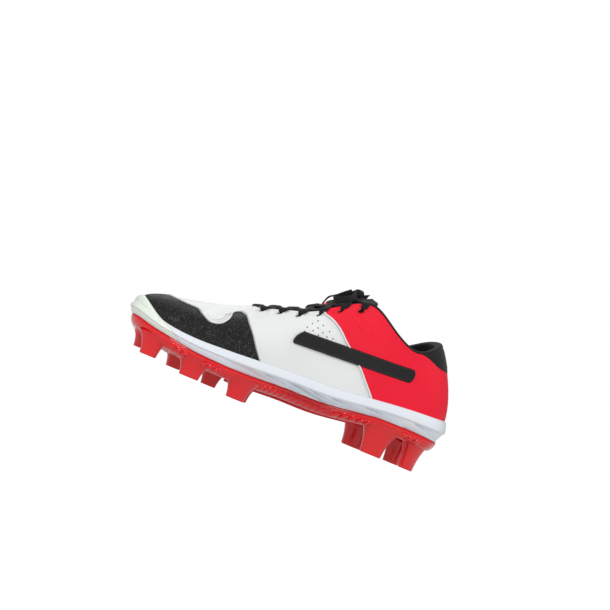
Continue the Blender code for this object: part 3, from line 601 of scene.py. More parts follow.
def outline(row, inset=0.0):
    """Plan of the shoe's widest line, moved inwards by inset along its own normal."""
    def plan(at):
        return np.stack([LAST["x"](at), LAST["y"](at)], -1)

    nudge = 0.02
    along = unit(plan(row + nudge) - plan(row - nudge))
    outward = np.stack([-along[..., 1], along[..., 0]], -1)
    return plan(row) - outward * np.asarray(inset)[..., None], outward


def ring(row, inset, height):
    """Points of the outline moved in by inset, at a height."""
    plan, _ = outline(row, inset)
    return np.concatenate([plan, np.broadcast_to(height, row.shape)[..., None]], -1) + LAST["offset"]


def recess_floor(row):
    rim, edge = LAST["rim"](row), LAST["edge"](row)
    return rim - RECESS_SHARE * (rim - edge)


def wall(row, t, lift=0.0):
    """The upper's outer face: row goes round the shoe, t from the sole (0) to the opening (1).

    Each section is a cubic Bezier curve. It leaves the sole upright, leans out a little, and
    comes in to the opening's edge. lift moves the face along its own normal.
    """
    row, t = np.broadcast_arrays(np.asarray(row, float), np.asarray(t, float))

    def face(r, s):
        plan, outward = outline(r, RIM_INSET + RIM_THICKNESS + GAP)
        foot = np.concatenate([plan, (recess_floor(r) + GAP)[..., None]], -1)
        edge = np.stack([LAST["top_x"](r), LAST["top_y"](r), LAST["top_z"](r)], -1)
        height = (edge[..., 2] - foot[..., 2])[..., None]
        rise = np.array([0.0, 0.0, 1.0])
        flat = np.concatenate([outward, np.zeros_like(outward[..., :1])], -1)
        low = foot + rise * height * LAST["rise"](r)[..., None] + flat * LAST["lean"](r)[..., None]
        out = (foot - edge) * np.array([1.0, 1.0, 0.0])
        high = edge + out * REACH - rise * height * LAST["drop"](r)[..., None]
        s = s[..., None]
        q = 1 - s
        return q ** 3 * foot + 3 * q * q * s * low + 3 * q * s * s * high + s ** 3 * edge

    points = face(row, t)
    if np.any(np.asarray(lift) != 0):
        step = 0.01
        below, above = np.clip(t - step, 0, 1), np.clip(t + step, 0, 1)
        across = face(row, above) - face(row, below)
        along = face(row + step, t) - face(row - step, t)
        points = points + unit(np.cross(across, along)) * np.broadcast_to(lift, t.shape)[..., None]
    return points + LAST["offset"]


def level_below(row, distance):
    """Level of the wall that lies a distance below the opening's edge, along the wall."""
    levels = np.linspace(1.0, 0.4, 121)
    points = wall(np.full(levels.shape, row), levels)
    return float(np.interp(distance, run_along(points), levels))


def level_at(row, height):
    """Level at which the wall reaches a height above the floor."""
    levels = np.linspace(0.0, 1.0, 401)
    heights = wall(*np.meshgrid(row, levels))[..., 2]
    return levels[np.argmax(heights > height, axis=0)]


def nearest_on(points, line):
    """Index of the nearest of a line's points for each point, and how far it is."""
    found, gap = np.empty(len(points), int), np.empty(len(points))
    square = (line * line).sum(1)
    for part in np.array_split(np.arange(len(points)), max(1, len(points) // 3000)):
        some = points[part]
        apart = (some * some).sum(1)[:, None] - 2 * some @ line.T + square
        found[part] = apart.argmin(1)
        gap[part] = np.linalg.norm(some - line[found[part]], axis=1)
    return found, gap


def inside_loops(at, loops):
    """Even-odd rule: true where a ray from the point crosses the loops an odd number of times."""
    odd = np.zeros(len(at), bool)
    for loop in loops:
        a, b = loop, np.roll(loop, -1, 0)
        slope = (b[:, 0] - a[:, 0]) / np.where(b[:, 1] == a[:, 1], 1e-12, b[:, 1] - a[:, 1])
        for part in np.array_split(np.arange(len(at)), max(1, len(at) // 4000)):
            x, y = at[part, 0][:, None], at[part, 1][:, None]
            crossed = ((a[:, 1] > y) != (b[:, 1] > y)) & (x < a[:, 0] + (y - a[:, 1]) * slope)
            odd[part] ^= crossed.sum(1) % 2 == 1
    return odd


def cut_sheet(name, loops, material, low, high, rounding, soften, closed=False, puff=None, cell=CELL):
    """Sheet cut from the upper's face along loops of (row, level), from one lifting to another.

    A grid is laid over the loops. The cells that reach inside are kept, and the points that
    stick out move to the nearest point of the loops. Near its edge the sheet's face comes down by
    soften of its thickness over the rounding. puff lifts the face further, as a function of its
    (row, level) and of the distance to the edge. A closed sheet goes all the way round, and its
    loops are its holes.
    """
    line_at = np.concatenate(loops)
    if closed:
        rows = np.arange(0, TURN, cell[0])
        levels = np.linspace(0, 1, int(1 / cell[1]) + 1)
    else:
        low_at, high_at = line_at.min(0), line_at.max(0)
        rows = np.linspace(low_at[0], high_at[0], int((high_at[0] - low_at[0]) / cell[0]) + 2)
        levels = np.linspace(low_at[1], high_at[1], int((high_at[1] - low_at[1]) / cell[1]) + 2)
    at = np.stack(np.meshgrid(rows, levels), -1).reshape(-1, 2)
    quads = grid_quads(len(rows), len(levels), closed)
    inside = inside_loops(at, loops) != closed
    face = wall(at[:, 0], at[:, 1])
    line = wall(line_at[:, 0], line_at[:, 1])
    nearest, gap = nearest_on(face, line)
    size = np.median(np.linalg.norm(face[quads[:, 0]] - face[quads[:, 1]], axis=1))
    inner = inside & (gap > 0.3 * size)
    quads = quads[inner[quads].any(1)]
    snapped = np.zeros(len(at), bool)
    snapped[quads.ravel()] = True
    snapped &= ~inner
    at[snapped] = line_at[nearest[snapped]]
    gap[snapped] = 0.0
    if closed:
        per_level = np.linalg.norm(wall(at[:, 0], 0.97) - wall(at[:, 0], 1.0), axis=1) / 0.03
        gap = np.minimum(gap, (1 - at[:, 1]) * per_level)
    used = np.unique(quads)
    place_of = np.zeros(len(at), int)
    place_of[used] = np.arange(len(used))
    quads, at, gap = place_of[quads], at[used], gap[used]
    edge = np.clip(1 - gap / rounding, 0, 1) ** 2
    lift = low + (high - low) * (1 - soften * edge)
    if puff is not None:
        lift = lift + puff(at, gap)
    outer = wall(at[:, 0], at[:, 1], lift)
    below = wall(at[:, 0], at[:, 1], np.full(len(at), low))
    count = len(at)
    sides = np.stack([quads, np.roll(quads, -1, 1)], -1).reshape(-1, 2)
    key = np.sort(sides, 1) @ np.array([count, 1])
    _, first, times = np.unique(key, return_index=True, return_counts=True)
    rim = sides[first[times == 1]]
    rim = rim[rim[:, 0] != rim[:, 1]]
    walls = np.stack([rim[:, 1], rim[:, 0], rim[:, 0] + count, rim[:, 1] + count], -1)
    body = put_mesh(name, np.concatenate([outer, below]), np.concatenate([quads, quads[:, ::-1] + count, walls]),
                    material, SHARP)
    return outward_faces(body)


def outward_faces(body):
    """Doubles merged and every face turned outwards."""
    shell = bmesh.new()
    shell.from_mesh(body.data)
    bmesh.ops.remove_doubles(shell, verts=shell.verts, dist=1e-6)
    bmesh.ops.recalc_face_normals(shell, faces=shell.faces)
    shell.to_mesh(body.data)
    shell.free()
    return body


EVEN = np.array([1.0, 4.0])
LINE_STEP = 0.02


def edge_line(points):
    """Dense points along the smooth curve through (row, level) points; EVEN evens their sizes."""
    return smooth_route(np.array(points) * EVEN, LINE_STEP) / EVEN


def straight_line(points):
    """Dense points along straight lines through (row, level) points."""
    points = np.array(points, float)
    run = run_along(points * EVEN)
    return pick(np.linspace(0, run[-1], max(2, int(run[-1] / LINE_STEP))), run, points)


def eyelet_loop(row, radius=EYELET / 2):
    """Circle of a radius round an eyelet's middle, as (row, level) points."""
    level = level_below(row, EYELET_EDGE)
    along = np.linalg.norm(wall(row + 0.05, level) - wall(row - 0.05, level)) / 0.1
    across = np.linalg.norm(wall(row, level + 0.01) - wall(row, level - 0.01)) / 0.02
    angle = np.linspace(0, 2 * math.pi, 40, endpoint=False)
    return np.stack([row + radius / along * np.cos(angle), level + radius / across * np.sin(angle)], -1)


EYELETS = [eyelet_loop(row) for row in EYELET_ROWS] + [eyelet_loop(TURN - row) for row in EYELET_ROWS]


def make_grain_group():
    """Pebbled grain. Height = rounded cells of a Voronoi field, uneven with slow noise."""
    group, given, put = new_group("pebbled_grain", [
        ("Place", "NodeSocketVector"), ("Scale", "NodeSocketFloat"), ("Uneven", "NodeSocketFloat"),
    ], [("Height", "NodeSocketFloat"), ("Cloud", "NodeSocketFloat")])
    place, scale = given.outputs["Place"], given.outputs["Scale"]
    cells = add_node(group, "ShaderNodeTexVoronoi", Vector=place, Scale=scale, feature="DISTANCE_TO_EDGE")
    rounded = add_node(group, "ShaderNodeMapRange", Value=cells.outputs["Distance"],
                       interpolation_type="SMOOTHSTEP", From_Max=0.32)
    noise = add_node(group, "ShaderNodeTexNoise", Vector=place, Scale=scale, Detail=3.0)
    uneven = calc(group, "MULTIPLY", noise.outputs["Fac"], given.outputs["Uneven"])
    height = calc(group, "ADD", rounded.outputs["Result"], uneven)
    slow = calc(group, "DIVIDE", scale, 45.0)
    cloud = add_node(group, "ShaderNodeTexNoise", Vector=place, Scale=slow, Detail=3.0)
    group.links.new(height, put.inputs["Height"])
    group.links.new(cloud.outputs["Fac"], put.inputs["Cloud"])
    return group


PEBBLED_GRAIN = make_grain_group()


def leather_paint(name, colour, shade, roughness, scale, depth, uneven=0.5, coat=0.0, gloss=0.5, glint_speck=None):
    """Leather: colour mottled towards a shade, roughness that follows the grain, grain as bump.

    The last argument is the colour of painted glints: light specks on the grain's tops standing in for highlights,
    if it has any.
    """
    material, tree, shader = new_paint(name, colour, roughness, coat, gloss=gloss)
    place = object_place(tree)
    grain = grouped(tree, PEBBLED_GRAIN, Place=place, Scale=scale, Uneven=uneven)
    tone = mix_colour(tree, calc(tree, "SMOOTH_MIN", grain.outputs["Cloud"], 0.65, 0.2), colour, shade)
    if glint_speck is not None:
        # Painted highlights: where a fine noise runs high, the colour turns to the speck colour, standing in for
        # glints.
        painted_glint_spots = add_node(tree, "ShaderNodeTexNoise", Vector=place, Scale=scale, Detail=2.0)
        tone = mix_colour(tree, ranged(tree, painted_glint_spots.outputs["Fac"], 0.56, 0.70), tone, glint_speck)
    tree.links.new(tone, shader.inputs["Base Color"])
    dull = calc(tree, "MULTIPLY_ADD", grain.outputs["Height"], -0.12, roughness + 0.1)
    tree.links.new(dull, shader.inputs["Roughness"])
    add_bump(tree, shader, grain.outputs["Height"], depth)
    return material


WHITE_LEATHER = leather_paint("white_leather", (0.87, 0.885, 0.875, 1.0), (0.81, 0.83, 0.825, 1.0), 0.42,
                              1500.0, 0.00010, coat=0.08)

# Creases of the vamp, in the shoe's own sizes: soft troughs across the bend behind the toe.
CREASES = (
    # row, level, turn of the trough in degrees, half length, half width, depth
    (11.6, 0.66, 20.0, 0.018, 0.0030, 0.0006),
    (10.9, 0.80, 35.0, 0.014, 0.0026, 0.0005),
    (12.6, 0.62, 5.0, 0.015, 0.0030, 0.0004),
)


def crease_lift(at, gap):
    """Lift of the face by the creases: a trough's depth times bells along and across it."""
    face = wall(at[:, 0], at[:, 1])
    lift = np.zeros(len(at))
    for row, level, turned, half_length, half_width, depth in CREASES:
        for side in (row, TURN - row):
            middle = wall(side, level)
            along = unit(wall(side, level + 0.03) - wall(side, level - 0.03))
            round_shoe = unit(wall(side + 0.2, level) - wall(side - 0.2, level)) * (1 if side < ROWS else -1)
            spin = math.radians(turned)
            trough = along * math.cos(spin) - round_shoe * math.sin(spin)
            other = along * math.sin(spin) + round_shoe * math.cos(spin)
            apart = face - middle
            u, v = apart @ trough / half_length, apart @ other / half_width
            lift -= depth * np.exp(-u * u - v * v) - 0.5 * depth * np.exp(-u * u - (np.abs(v) - 2) ** 2)
    return lift


upper = cut_sheet("upper_leather", EYELETS, WHITE_LEATHER, -LEATHER, 0.0, 0.0008, 0.35, True, crease_lift)
fit(upper, "white_leather", "upper")

# Lining and collar. A black textile lines the whole upper; over the collar it covers a foam roll
# that stands a little over the leather's edge and is thickest at the heel.
COLLAR_PADDING = 0.0030
COLLAR_ROLL = 0.0022
TAB_THICKNESS = 0.0020


def smooth_step(value):
    value = np.clip(value, 0, 1)
    return value * value * (3 - 2 * value)


def lining_lift(row, t):
    """How far the lining's inner face lies inside the wall, thicker round the padded collar."""
    side = np.minimum(np.mod(row, TURN), TURN - np.mod(row, TURN))
    rear = smooth_step((6.4 - side) / 1.5)
    return 0.0020 + COLLAR_PADDING * rear * smooth_step((t - 0.62) / 0.30)


def knit_paint(name, colour, shade, scale, depth):
    """Spacer mesh: small round openings in offset rows, on Object coordinates, darker inside them as painted shade.
    """
    material, tree, shader = new_paint(name, colour, 0.85, sheen=0.12, gloss=0.2)
    place = object_place(tree)
    cells = add_node(tree, "ShaderNodeTexVoronoi", Vector=place, Scale=scale, Randomness=0.25)
    fuzz = add_node(tree, "ShaderNodeTexNoise", Vector=place, Scale=4 * scale, Detail=2.0)
    # Painted shade: the colour falls to the shade colour towards each opening's middle.
    tree.links.new(mix_colour(tree, cells.outputs["Distance"], shade, colour), shader.inputs["Base Color"])
    height = calc(tree, "MULTIPLY_ADD", fuzz.outputs["Fac"], 0.3, cells.outputs["Distance"])
    add_bump(tree, shader, height, depth)
    return material


BLACK_KNIT = knit_paint("collar_textile", (0.022, 0.022, 0.025, 1.0), (0.006, 0.006, 0.007, 1.0), 900.0, 0.0004)
BLACK_LINING = knit_paint("black_textile", (0.018, 0.018, 0.020, 1.0), (0.007, 0.007, 0.008, 1.0), 1400.0, 0.0003)


def make_lining():
    """Profile carried round the shoe: up behind the leather, over the roll, down inside."""
    rows = np.arange(0, TURN, 1 / 12)
    side = np.minimum(rows, TURN - rows)
    collar = smooth_step((6.9 - side) / 0.6)
    over_tab = smooth_step((3.5 - side) / 0.7)
    climb = np.linspace(0.02, 1.0, 22)
    outside = [wall(rows, t, -LEATHER) for t in climb]
    start = wall(rows, 1.0, -LEATHER + (LEATHER + 0.0009) * collar + (TAB_THICKNESS - 0.0012) * over_tab)
    end = wall(rows, 1.0, -lining_lift(rows, 1.0))
    upward = unit(wall(rows, 1.0) - wall(rows, 0.96))
    middle, reach = (start + end) / 2, (start - end) / 2
    rolls = []
    for angle in np.linspace(0, math.pi, 13):
        high = (COLLAR_ROLL * collar - 0.0008 * over_tab)[:, None] * upward * math.sin(angle) ** 0.8
        rolls.append(middle + reach * math.cos(angle) + high)
    levels = np.linspace(1.0, 0.02, 46)[1:]
    inside = [wall(rows, t, -lining_lift(rows, t)) for t in levels]
    profile = outside + rolls + inside
    points = np.concatenate(profile)
    count, steps = len(rows), len(profile)
    quads = grid_quads(count, steps)
    i = np.arange(count)
    j = (i + 1) % count
    closing = np.stack([(steps - 1) * count + i, (steps - 1) * count + j, j, i], -1)
    body = put_mesh("collar_lining", points, np.concatenate([quads, closing]), BLACK_LINING, 60.0)
    fit(outward_faces(body), "black_textile")


make_lining()

# Toe guard and bumper. A pebbled black sheet welded round the forefoot, with a rounded horn behind
# the bend, and an off-white rubber wrap at the very front over the sole's edge.
GUARD_REAR = ((8.28, 0.015), (8.38, 0.060), (8.76, 0.185), (9.22, 0.358), (9.68, 0.518), (10.24, 0.680),
              (10.66, 0.750), (11.10, 0.790), (11.40, 0.795), (11.54, 0.768))
GUARD_NOTCH = ((11.54, 0.768), (11.42, 0.712), (11.18, 0.655), (10.94, 0.595), (10.70, 0.500), (10.66, 0.400),
               (10.80, 0.352), (11.04, 0.338), (11.34, 0.365), (11.86, 0.440), (12.34, 0.492), (12.80, 0.502),
               (13.40, 0.470), (14.00, 0.445), (14.60, 0.428), (15.00, 0.422))
GUARD_LOW = ((15.00, 0.180), (14.30, 0.145), (13.60, 0.098), (13.00, 0.060), (12.40, 0.032), (11.80, 0.015))
BUMPER_TOP = ((11.90, 0.016), (12.40, 0.036), (13.00, 0.065), (13.60, 0.103), (14.30, 0.150), (15.00, 0.185))


def mirrored(line, about=TURN):
    """The other side's copy of a line of (row, level) points, in the opposite order."""
    return np.stack([about - line[::-1, 0], line[::-1, 1]], -1)


def whole_loop(half_lines, about=TURN):
    """Loop over both sides of the shoe from the lines of one side, in order from its middle."""
    near = np.concatenate(half_lines)
    return np.concatenate([near, mirrored(near, about)])


SHEET_FOOT = -0.0002
SHEET_FACE = 0.0013
# The guard's light specks are painted glints, mixed into its black colour.
GUARD_BLACK = leather_paint("toe_guard_grain", (0.016, 0.016, 0.017, 1.0), (0.009, 0.009, 0.010, 1.0), 0.44,
                            1050.0, 0.00042, 0.9, coat=0.04, gloss=0.35, glint_speck=(0.12, 0.125, 0.12, 1.0))
guard_edge = np.concatenate([edge_line(GUARD_REAR), edge_line(GUARD_NOTCH)[1:]])
guard_low = edge_line(GUARD_LOW)
guard_floor = straight_line(((11.80, 0.015), (8.28, 0.015)))
guard_loop = whole_loop([guard_low, guard_floor[1:], guard_edge[1:]])
guard = cut_sheet("toe_guard_grained", [guard_loop], GUARD_BLACK, SHEET_FOOT, SHEET_FACE, 0.0010, 0.45,
                  puff=crease_lift)
fit(guard, "black_synthetic", "toe_guard")

BUMPER_FACE = 0.0019
BUMPER_FILL = 0.0016
OFF_WHITE = leather_paint("offwhite_rubber", (0.83, 0.89, 0.80, 1.0), (0.78, 0.85, 0.75, 1.0), 0.38,
                          700.0, 0.00002, coat=0.15)


def bumper_fill(at, gap):
    """The rubber is thickest half way up and thins to its edges: a half sine over its height."""
    side = np.minimum(at[:, 0], TURN - at[:, 0])
    top = np.interp(side, *np.transpose(BUMPER_TOP))
    share = np.clip(at[:, 1] / top, 0, 1)
    return BUMPER_FILL * np.sin(math.pi * share) * smooth_step((top - 0.03) / 0.12)


bumper_top = edge_line(BUMPER_TOP)
bumper_low = straight_line(((15.00, 0.005), (11.90, 0.005)))
bumper_loop = whole_loop([bumper_low, bumper_top])
bumper = cut_sheet("toe_bumper_rubber", [bumper_loop], OFF_WHITE, SHEET_FOOT, BUMPER_FACE, 0.0012, 0.6,
                   puff=bumper_fill)
fit(bumper, "offwhite_rubber", "toe_bumper")

# Heel quarter. A red synthetic shell welded over the rear half, with a straight slanted front edge
# that reaches up to the eyestay, where it takes the last eyelets.
QUARTER_FRONT = ((4.38, 0.015), (4.46, 0.075), (4.68, 0.165), (5.00, 0.275), (5.36, 0.370), (5.94, 0.485),
                 (6.24, 0.555), (6.70, 0.675), (7.14, 0.795), (7.44, 0.885), (7.68, 0.999))
QUARTER_TOP = ((7.68, 0.999), (6.60, 0.999), (5.50, 0.999), (4.40, 0.999), (3.50, 0.999))
QUARTER_UNDER_TAB = ((3.50, 0.999), (3.00, 0.920), (2.28, 0.770), (1.56, 0.700), (0.80, 0.672), (0.00, 0.665))
RED_LEATHER = leather_paint("red_synthetic", (0.95, 0.001, 0.030, 1.0), (0.86, 0.001, 0.024, 1.0), 0.42,
                            1300.0, 0.00010, coat=0.05, gloss=0.3)
quarter_floor = straight_line(((0.00, 0.015), (4.38, 0.015)))
quarter_loop = whole_loop([
    quarter_floor, edge_line(QUARTER_FRONT)[1:], straight_line(QUARTER_TOP)[1:],
    edge_line(QUARTER_UNDER_TAB)[1:]], 0.0)
quarter_holes = [eyelet_loop(side * row) for side in (1, -1) for row in EYELET_ROWS[-2:]]
quarter = cut_sheet("heel_quarter_red", [quarter_loop] + quarter_holes, RED_LEATHER, SHEET_FOOT, SHEET_FACE,
                    0.0010, 0.5)
fit(quarter, "red_synthetic", "heel_quarter")

# Side bands. A plain straight black band on each side, cut from smooth synthetic leather and
# sewn down along both of its edges.
BAND_HEIGHT = 0.062
BAND_WIDTH = 0.012
BAND_SLOPE = 0.06
BAND_ROWS = (3.6, 7.6)
BAND_END = 0.16
BAND_FACE = 0.0024
BAND_BLACK = leather_paint("black_synthetic", (0.017, 0.017, 0.018, 1.0), (0.010, 0.010, 0.011, 1.0), 0.45,
                           1700.0, 0.00010, gloss=0.3)


def band_edge(share, rows):
    """Line along the band at a share of its width: its height rises evenly towards the toe."""
    height = BAND_HEIGHT + BAND_SLOPE * LAST["x"](rows) + BAND_WIDTH * share
    return np.stack([rows, level_at(rows, height)], -1)


def smooth_levels(line):
    """Line whose levels are averaged with their neighbours, against the steps of level_at."""
    for _ in range(14):
        line[1:-1, 1] = (line[:-2, 1] + line[2:, 1]) / 4 + line[1:-1, 1] / 2
    return line


def band_loop(margin=0.0):
    """The band's outline with round ends, moved in by a margin."""
    rows = np.linspace(BAND_ROWS[0] + 0.02, BAND_ROWS[1] - 0.02, 200)
    share = margin / BAND_WIDTH
    low, high = smooth_levels(band_edge(share, rows)), smooth_levels(band_edge(1 - share, rows))
    ends = []
    for k, out in ((-1, 1), (0, -1)):
        middle, reach = (low[k] + high[k]) / 2, (high[k] - low[k]) / 2
        angle = np.linspace(-math.pi / 2, math.pi / 2, 40)[1:-1]
        along = middle[0] + out * BAND_END * np.cos(angle) * (1 - share)
        ends.append(np.stack([along, middle[1] + reach[1] * np.sin(angle)], -1)[::out])
    return np.concatenate([low, ends[0], high[::-1], ends[1]])


for side_name, loop in (("inner", band_loop()), ("outer", mirrored(band_loop()))):
    band = cut_sheet("side_band_%s_sewn" % side_name, [loop], BAND_BLACK, 0.0002, BAND_FACE, 0.0010, 0.45,
                     cell=(1 / 34, 1 / 120))
    fit(band, "black_synthetic", "side_band_" + side_name)

# Heel tab. A padded black knit patch at the back of the collar, full in its middle.
TAB_LOW = ((0.00, 0.620), (0.80, 0.628), (1.56, 0.655), (2.28, 0.728), (3.00, 0.890), (3.40, 0.970),
           (3.50, 1.000))
TAB_FILL = 0.0005
tab_loop = whole_loop([edge_line(TAB_LOW), straight_line(((3.50, 1.000), (0.00, 1.000)))[1:]], 0.0)


def tab_fill(at, gap):
    """Padding under the tab: none at its edge, full 7 mm from it, and kept full up to the roll."""
    to_roll = smooth_step((at[:, 1] - 0.93) / 0.07) * smooth_step((3.3 - np.abs(at[:, 0])) / 0.5)
    return TAB_FILL * np.maximum(smooth_step(gap / 0.007), to_roll)


tab = cut_sheet("heel_tab_padded", [tab_loop], BLACK_KNIT, 0.0004, 0.0015, 0.0010, 0.5, puff=tab_fill)
fit(tab, "collar_textile", "heel_tab")

# Seams, welts and pinholes. Thread is sewn along the band's edges. Thin welts are moulded into
# the leather: round the eyelets, along the guard's rear edge and the quarter's front edge, on the
# vamp's lobe and on the heel.
THREAD_BLACK = (0.020, 0.022, 0.024, 1.0)
STITCH_PITCH = 0.0022
STITCH_LENGTH = 0.0015
STITCH_RADIUS = 0.00032
STITCH_INSET = 0.0013
thread_paint, thread_tree, thread_shader = new_paint("thread", THREAD_BLACK, 0.6, sheen=0.3)
twist = add_node(thread_tree, "ShaderNodeTexWave", Scale=900.0, Distortion=1.0,
                 Vector=object_place(thread_tree))
add_bump(thread_tree, thread_shader, twist.outputs["Fac"], 0.0001)


def along_wall(line, lift, step):
    """Points a step apart along a line of (row, level), at a lifting of the wall, with normals."""
    points = wall(line[:, 0], line[:, 1], lift)
    run = run_along(points)
    at = pick(np.arange(step / 2, run[-1], step), run, line)
    low, high = wall(at[:, 0], at[:, 1]), wall(at[:, 0], at[:, 1], 0.001)
    return wall(at[:, 0], at[:, 1], lift), unit(high - low)


def sew(name, lines, lift, material, slot):
    """Short thread spindles in a row: radius falls with the sine from the middle to both ends."""
    around_thread, steps = 6, 5
    u = np.linspace(0, math.pi, steps)
    a = np.linspace(0, 2 * math.pi, around_thread, endpoint=False)
    points, quads, start = [], [], 0
    for line in lines:
        centre, normal = along_wall(line, lift, STITCH_PITCH)
        along = unit(np.gradient(centre, axis=0))
        wide = np.cross(along, normal)
        radius = STITCH_RADIUS * (0.25 + 0.75 * np.sin(u))
        far = -np.cos(u) * STITCH_LENGTH / 2
        body = (centre[:, None, None] + along[:, None, None] * far[None, :, None, None]
                + (wide[:, None, None] * np.cos(a)[None, None, :, None]
                   + normal[:, None, None] * np.sin(a)[None, None, :, None]) * radius[None, :, None, None])
        one = grid_quads(around_thread, steps)
        each = np.arange(len(centre))[:, None, None] * around_thread * steps + one[None] + start
        points.append(body.reshape(-1, 3))
        quads.append(each.reshape(-1, 4))
        start += body.size // 3
    return fit(put_mesh(name, np.concatenate(points), np.concatenate(quads), material, 60.0), slot)


def welt(name, lines, lift, radius, material, slot, closed=False):
    """Thin round bead half sunk in the wall along each line of (row, level)."""
    tubes = []
    for line in lines:
        if closed:
            line = np.concatenate([line, line[:1]])
        centre, normal = along_wall(line, lift, 0.0007)
        if closed:
            centre, normal = np.concatenate([centre, centre[:1]]), np.concatenate([normal, normal[:1]])
        tubes.append(flat_tube(centre, normal, 2 * radius, 2 * radius, 8))
    return fit(lace_piece(name, tubes, material), slot)


def both_sides(*lines):
    return list(lines) + [mirrored(line) for line in lines]


sew("band_stitches", both_sides(band_loop(STITCH_INSET)), BAND_FACE, thread_paint, "black_synthetic")

guard_welt = np.concatenate([
    edge_line(GUARD_REAR) + np.array([-0.035, 0.006]), edge_line(GUARD_NOTCH)[1:] + np.array([0.0, 0.010])])
quarter_edge = edge_line(QUARTER_FRONT)[:-6] + np.array([0.03, 0.0])
welt("guard_welt", both_sides(guard_welt, quarter_edge), SHEET_FACE, 0.00070, WHITE_LEATHER, "white_leather")
lobe_middle = np.array([11.62, 0.565])
lobe_edge = edge_line(GUARD_NOTCH[:10])
lobe_lines = [lobe_middle + (lobe_edge - lobe_middle) * share for share in (0.80, 0.60)]
welt("lobe_welts", both_sides(*lobe_lines), 0.0002, 0.00050, WHITE_LEATHER, "white_leather")

EYELET_WELT = 0.0033
rings = [eyelet_loop(row, EYELET_WELT) for row in EYELET_ROWS]
welt("eyelet_welts_white", both_sides(*rings[:-2]), 0.0, 0.00045, WHITE_LEATHER, "white_leather", True)
welt("eyelet_welts_red", both_sides(*rings[-2:]), SHEET_FACE, 0.00045, RED_LEATHER, "red_synthetic", True)
HEEL_WELT = ((6.40, 0.812), (6.36, 0.838), (6.20, 0.832), (5.84, 0.800), (5.54, 0.775), (5.38, 0.735), (5.32, 0.700),
             (5.46, 0.678), (5.76, 0.690), (6.06, 0.725), (6.32, 0.780), (6.40, 0.812))
heel_line = edge_line(HEEL_WELT)
low_line = edge_line(((4.86, 0.380), (4.48, 0.425), (3.98, 0.470), (3.44, 0.500), (3.00, 0.515)))
welt("quarter_welts", both_sides(heel_line, low_line), 0.0012, 0.00035, RED_LEATHER, "red_synthetic")

# Pinholes: thirteen small vent holes in the white panel in front of the quarter.
PINHOLES = (
    # row, level
    (7.64, 0.650), (7.58, 0.715), (7.48, 0.760), (7.60, 0.575), (7.34, 0.585), (7.26, 0.628), (7.16, 0.670),
    (7.32, 0.522), (7.06, 0.520), (6.98, 0.556), (6.80, 0.578), (6.76, 0.508), (6.54, 0.500),
)
PINHOLE_RINGS = ((0.00066, 0.00002), (0.00054, 0.00006), (0.00040, 0.00005))
# The discs' dark grey stands for each hole: partly the black lining seen through it, partly painted shade inside the
# hole.
pin_paint, _, _ = new_paint("pinhole_dark", (0.10, 0.10, 0.10, 1.0), 0.9)


def make_pinholes():
    """Small dished discs in the wall, of rings (radius, height) whose middle lies deeper."""
    sides = 12
    angle = np.linspace(0, 2 * math.pi, sides, endpoint=False)
    points, quads, caps, start = [], [], [], 0
    for row, level in PINHOLES + tuple((TURN - row, level) for row, level in PINHOLES):
        middle, out = wall(row, level), unit(wall(row, level, 0.001) - wall(row, level))
        first = unit(np.cross(out, np.array([0.0, 0.0, 1.0])))
        second = np.cross(out, first)
        circle = first * np.cos(angle)[:, None] + second * np.sin(angle)[:, None]
        rings = [middle + out * high + circle * radius for radius, high in PINHOLE_RINGS]
        points.append(np.concatenate(rings))
        quads.append(grid_quads(sides, 3) + start)
        caps.append(list(range(start + 2 * sides, start + 3 * sides)))
        start += 3 * sides
    return put_mesh("pinholes", np.concatenate(points), np.concatenate(quads), pin_paint, 80.0, caps)


fit(make_pinholes(), "black_textile")

# Tongue. Padded and faced in black textile; it is held under the vamp, runs up the throat and
# stands a little above the collar.
TONGUE = 0.0040
TONGUE_CLEARANCE = 0.0007
TONGUE_EXTRA = 0.012
TONGUE_CROWN = 0.0004
TONGUE_SAG = 0.0024
WALL = 0.0020
TONGUE_SPOTS = np.array([0.80, 0.91, 1.0])


def arch(row):
    """Height of the tongue's middle over its covered edges: none where it leaves the vamp."""
    out = np.clip((12.2 - row) / 1.9, 0, 1)
    above = TONGUE_CROWN - TONGUE_SAG * (1 - smooth_step((7.9 - row) / 1.5))
    return (above + WALL + TONGUE_CLEARANCE) * out


def tongue_section(row, spots, rise, lift):
    """Points across the tongue at one row: under the inner wall, over the middle, down again."""
    below = lift - WALL - TONGUE_CLEARANCE
    inner = wall(np.full(3, row), spots, below)
    outer = wall(np.full(3, TURN - row), spots, below)[::-1]
    raised = np.array([0.0, 0.0, rise])
    near = 0.72 * inner[-1] + 0.28 * outer[0] + 0.62 * raised
    far = 0.28 * inner[-1] + 0.72 * outer[0] + 0.62 * raised
    middle = (inner[-1] + outer[0]) / 2 + raised
    return np.stack([*inner, near, middle, far, *outer])


def throat_section(row, lift):
    return tongue_section(row, TONGUE_SPOTS, float(arch(row)), lift)


def across_smooth(section, count):
    """A section's points joined by a smooth curve, at equal parts of its point numbers."""
    route = smooth_route(section, 0.0004)
    return pick(np.linspace(0, len(route) - 1, count), np.arange(len(route)), route)


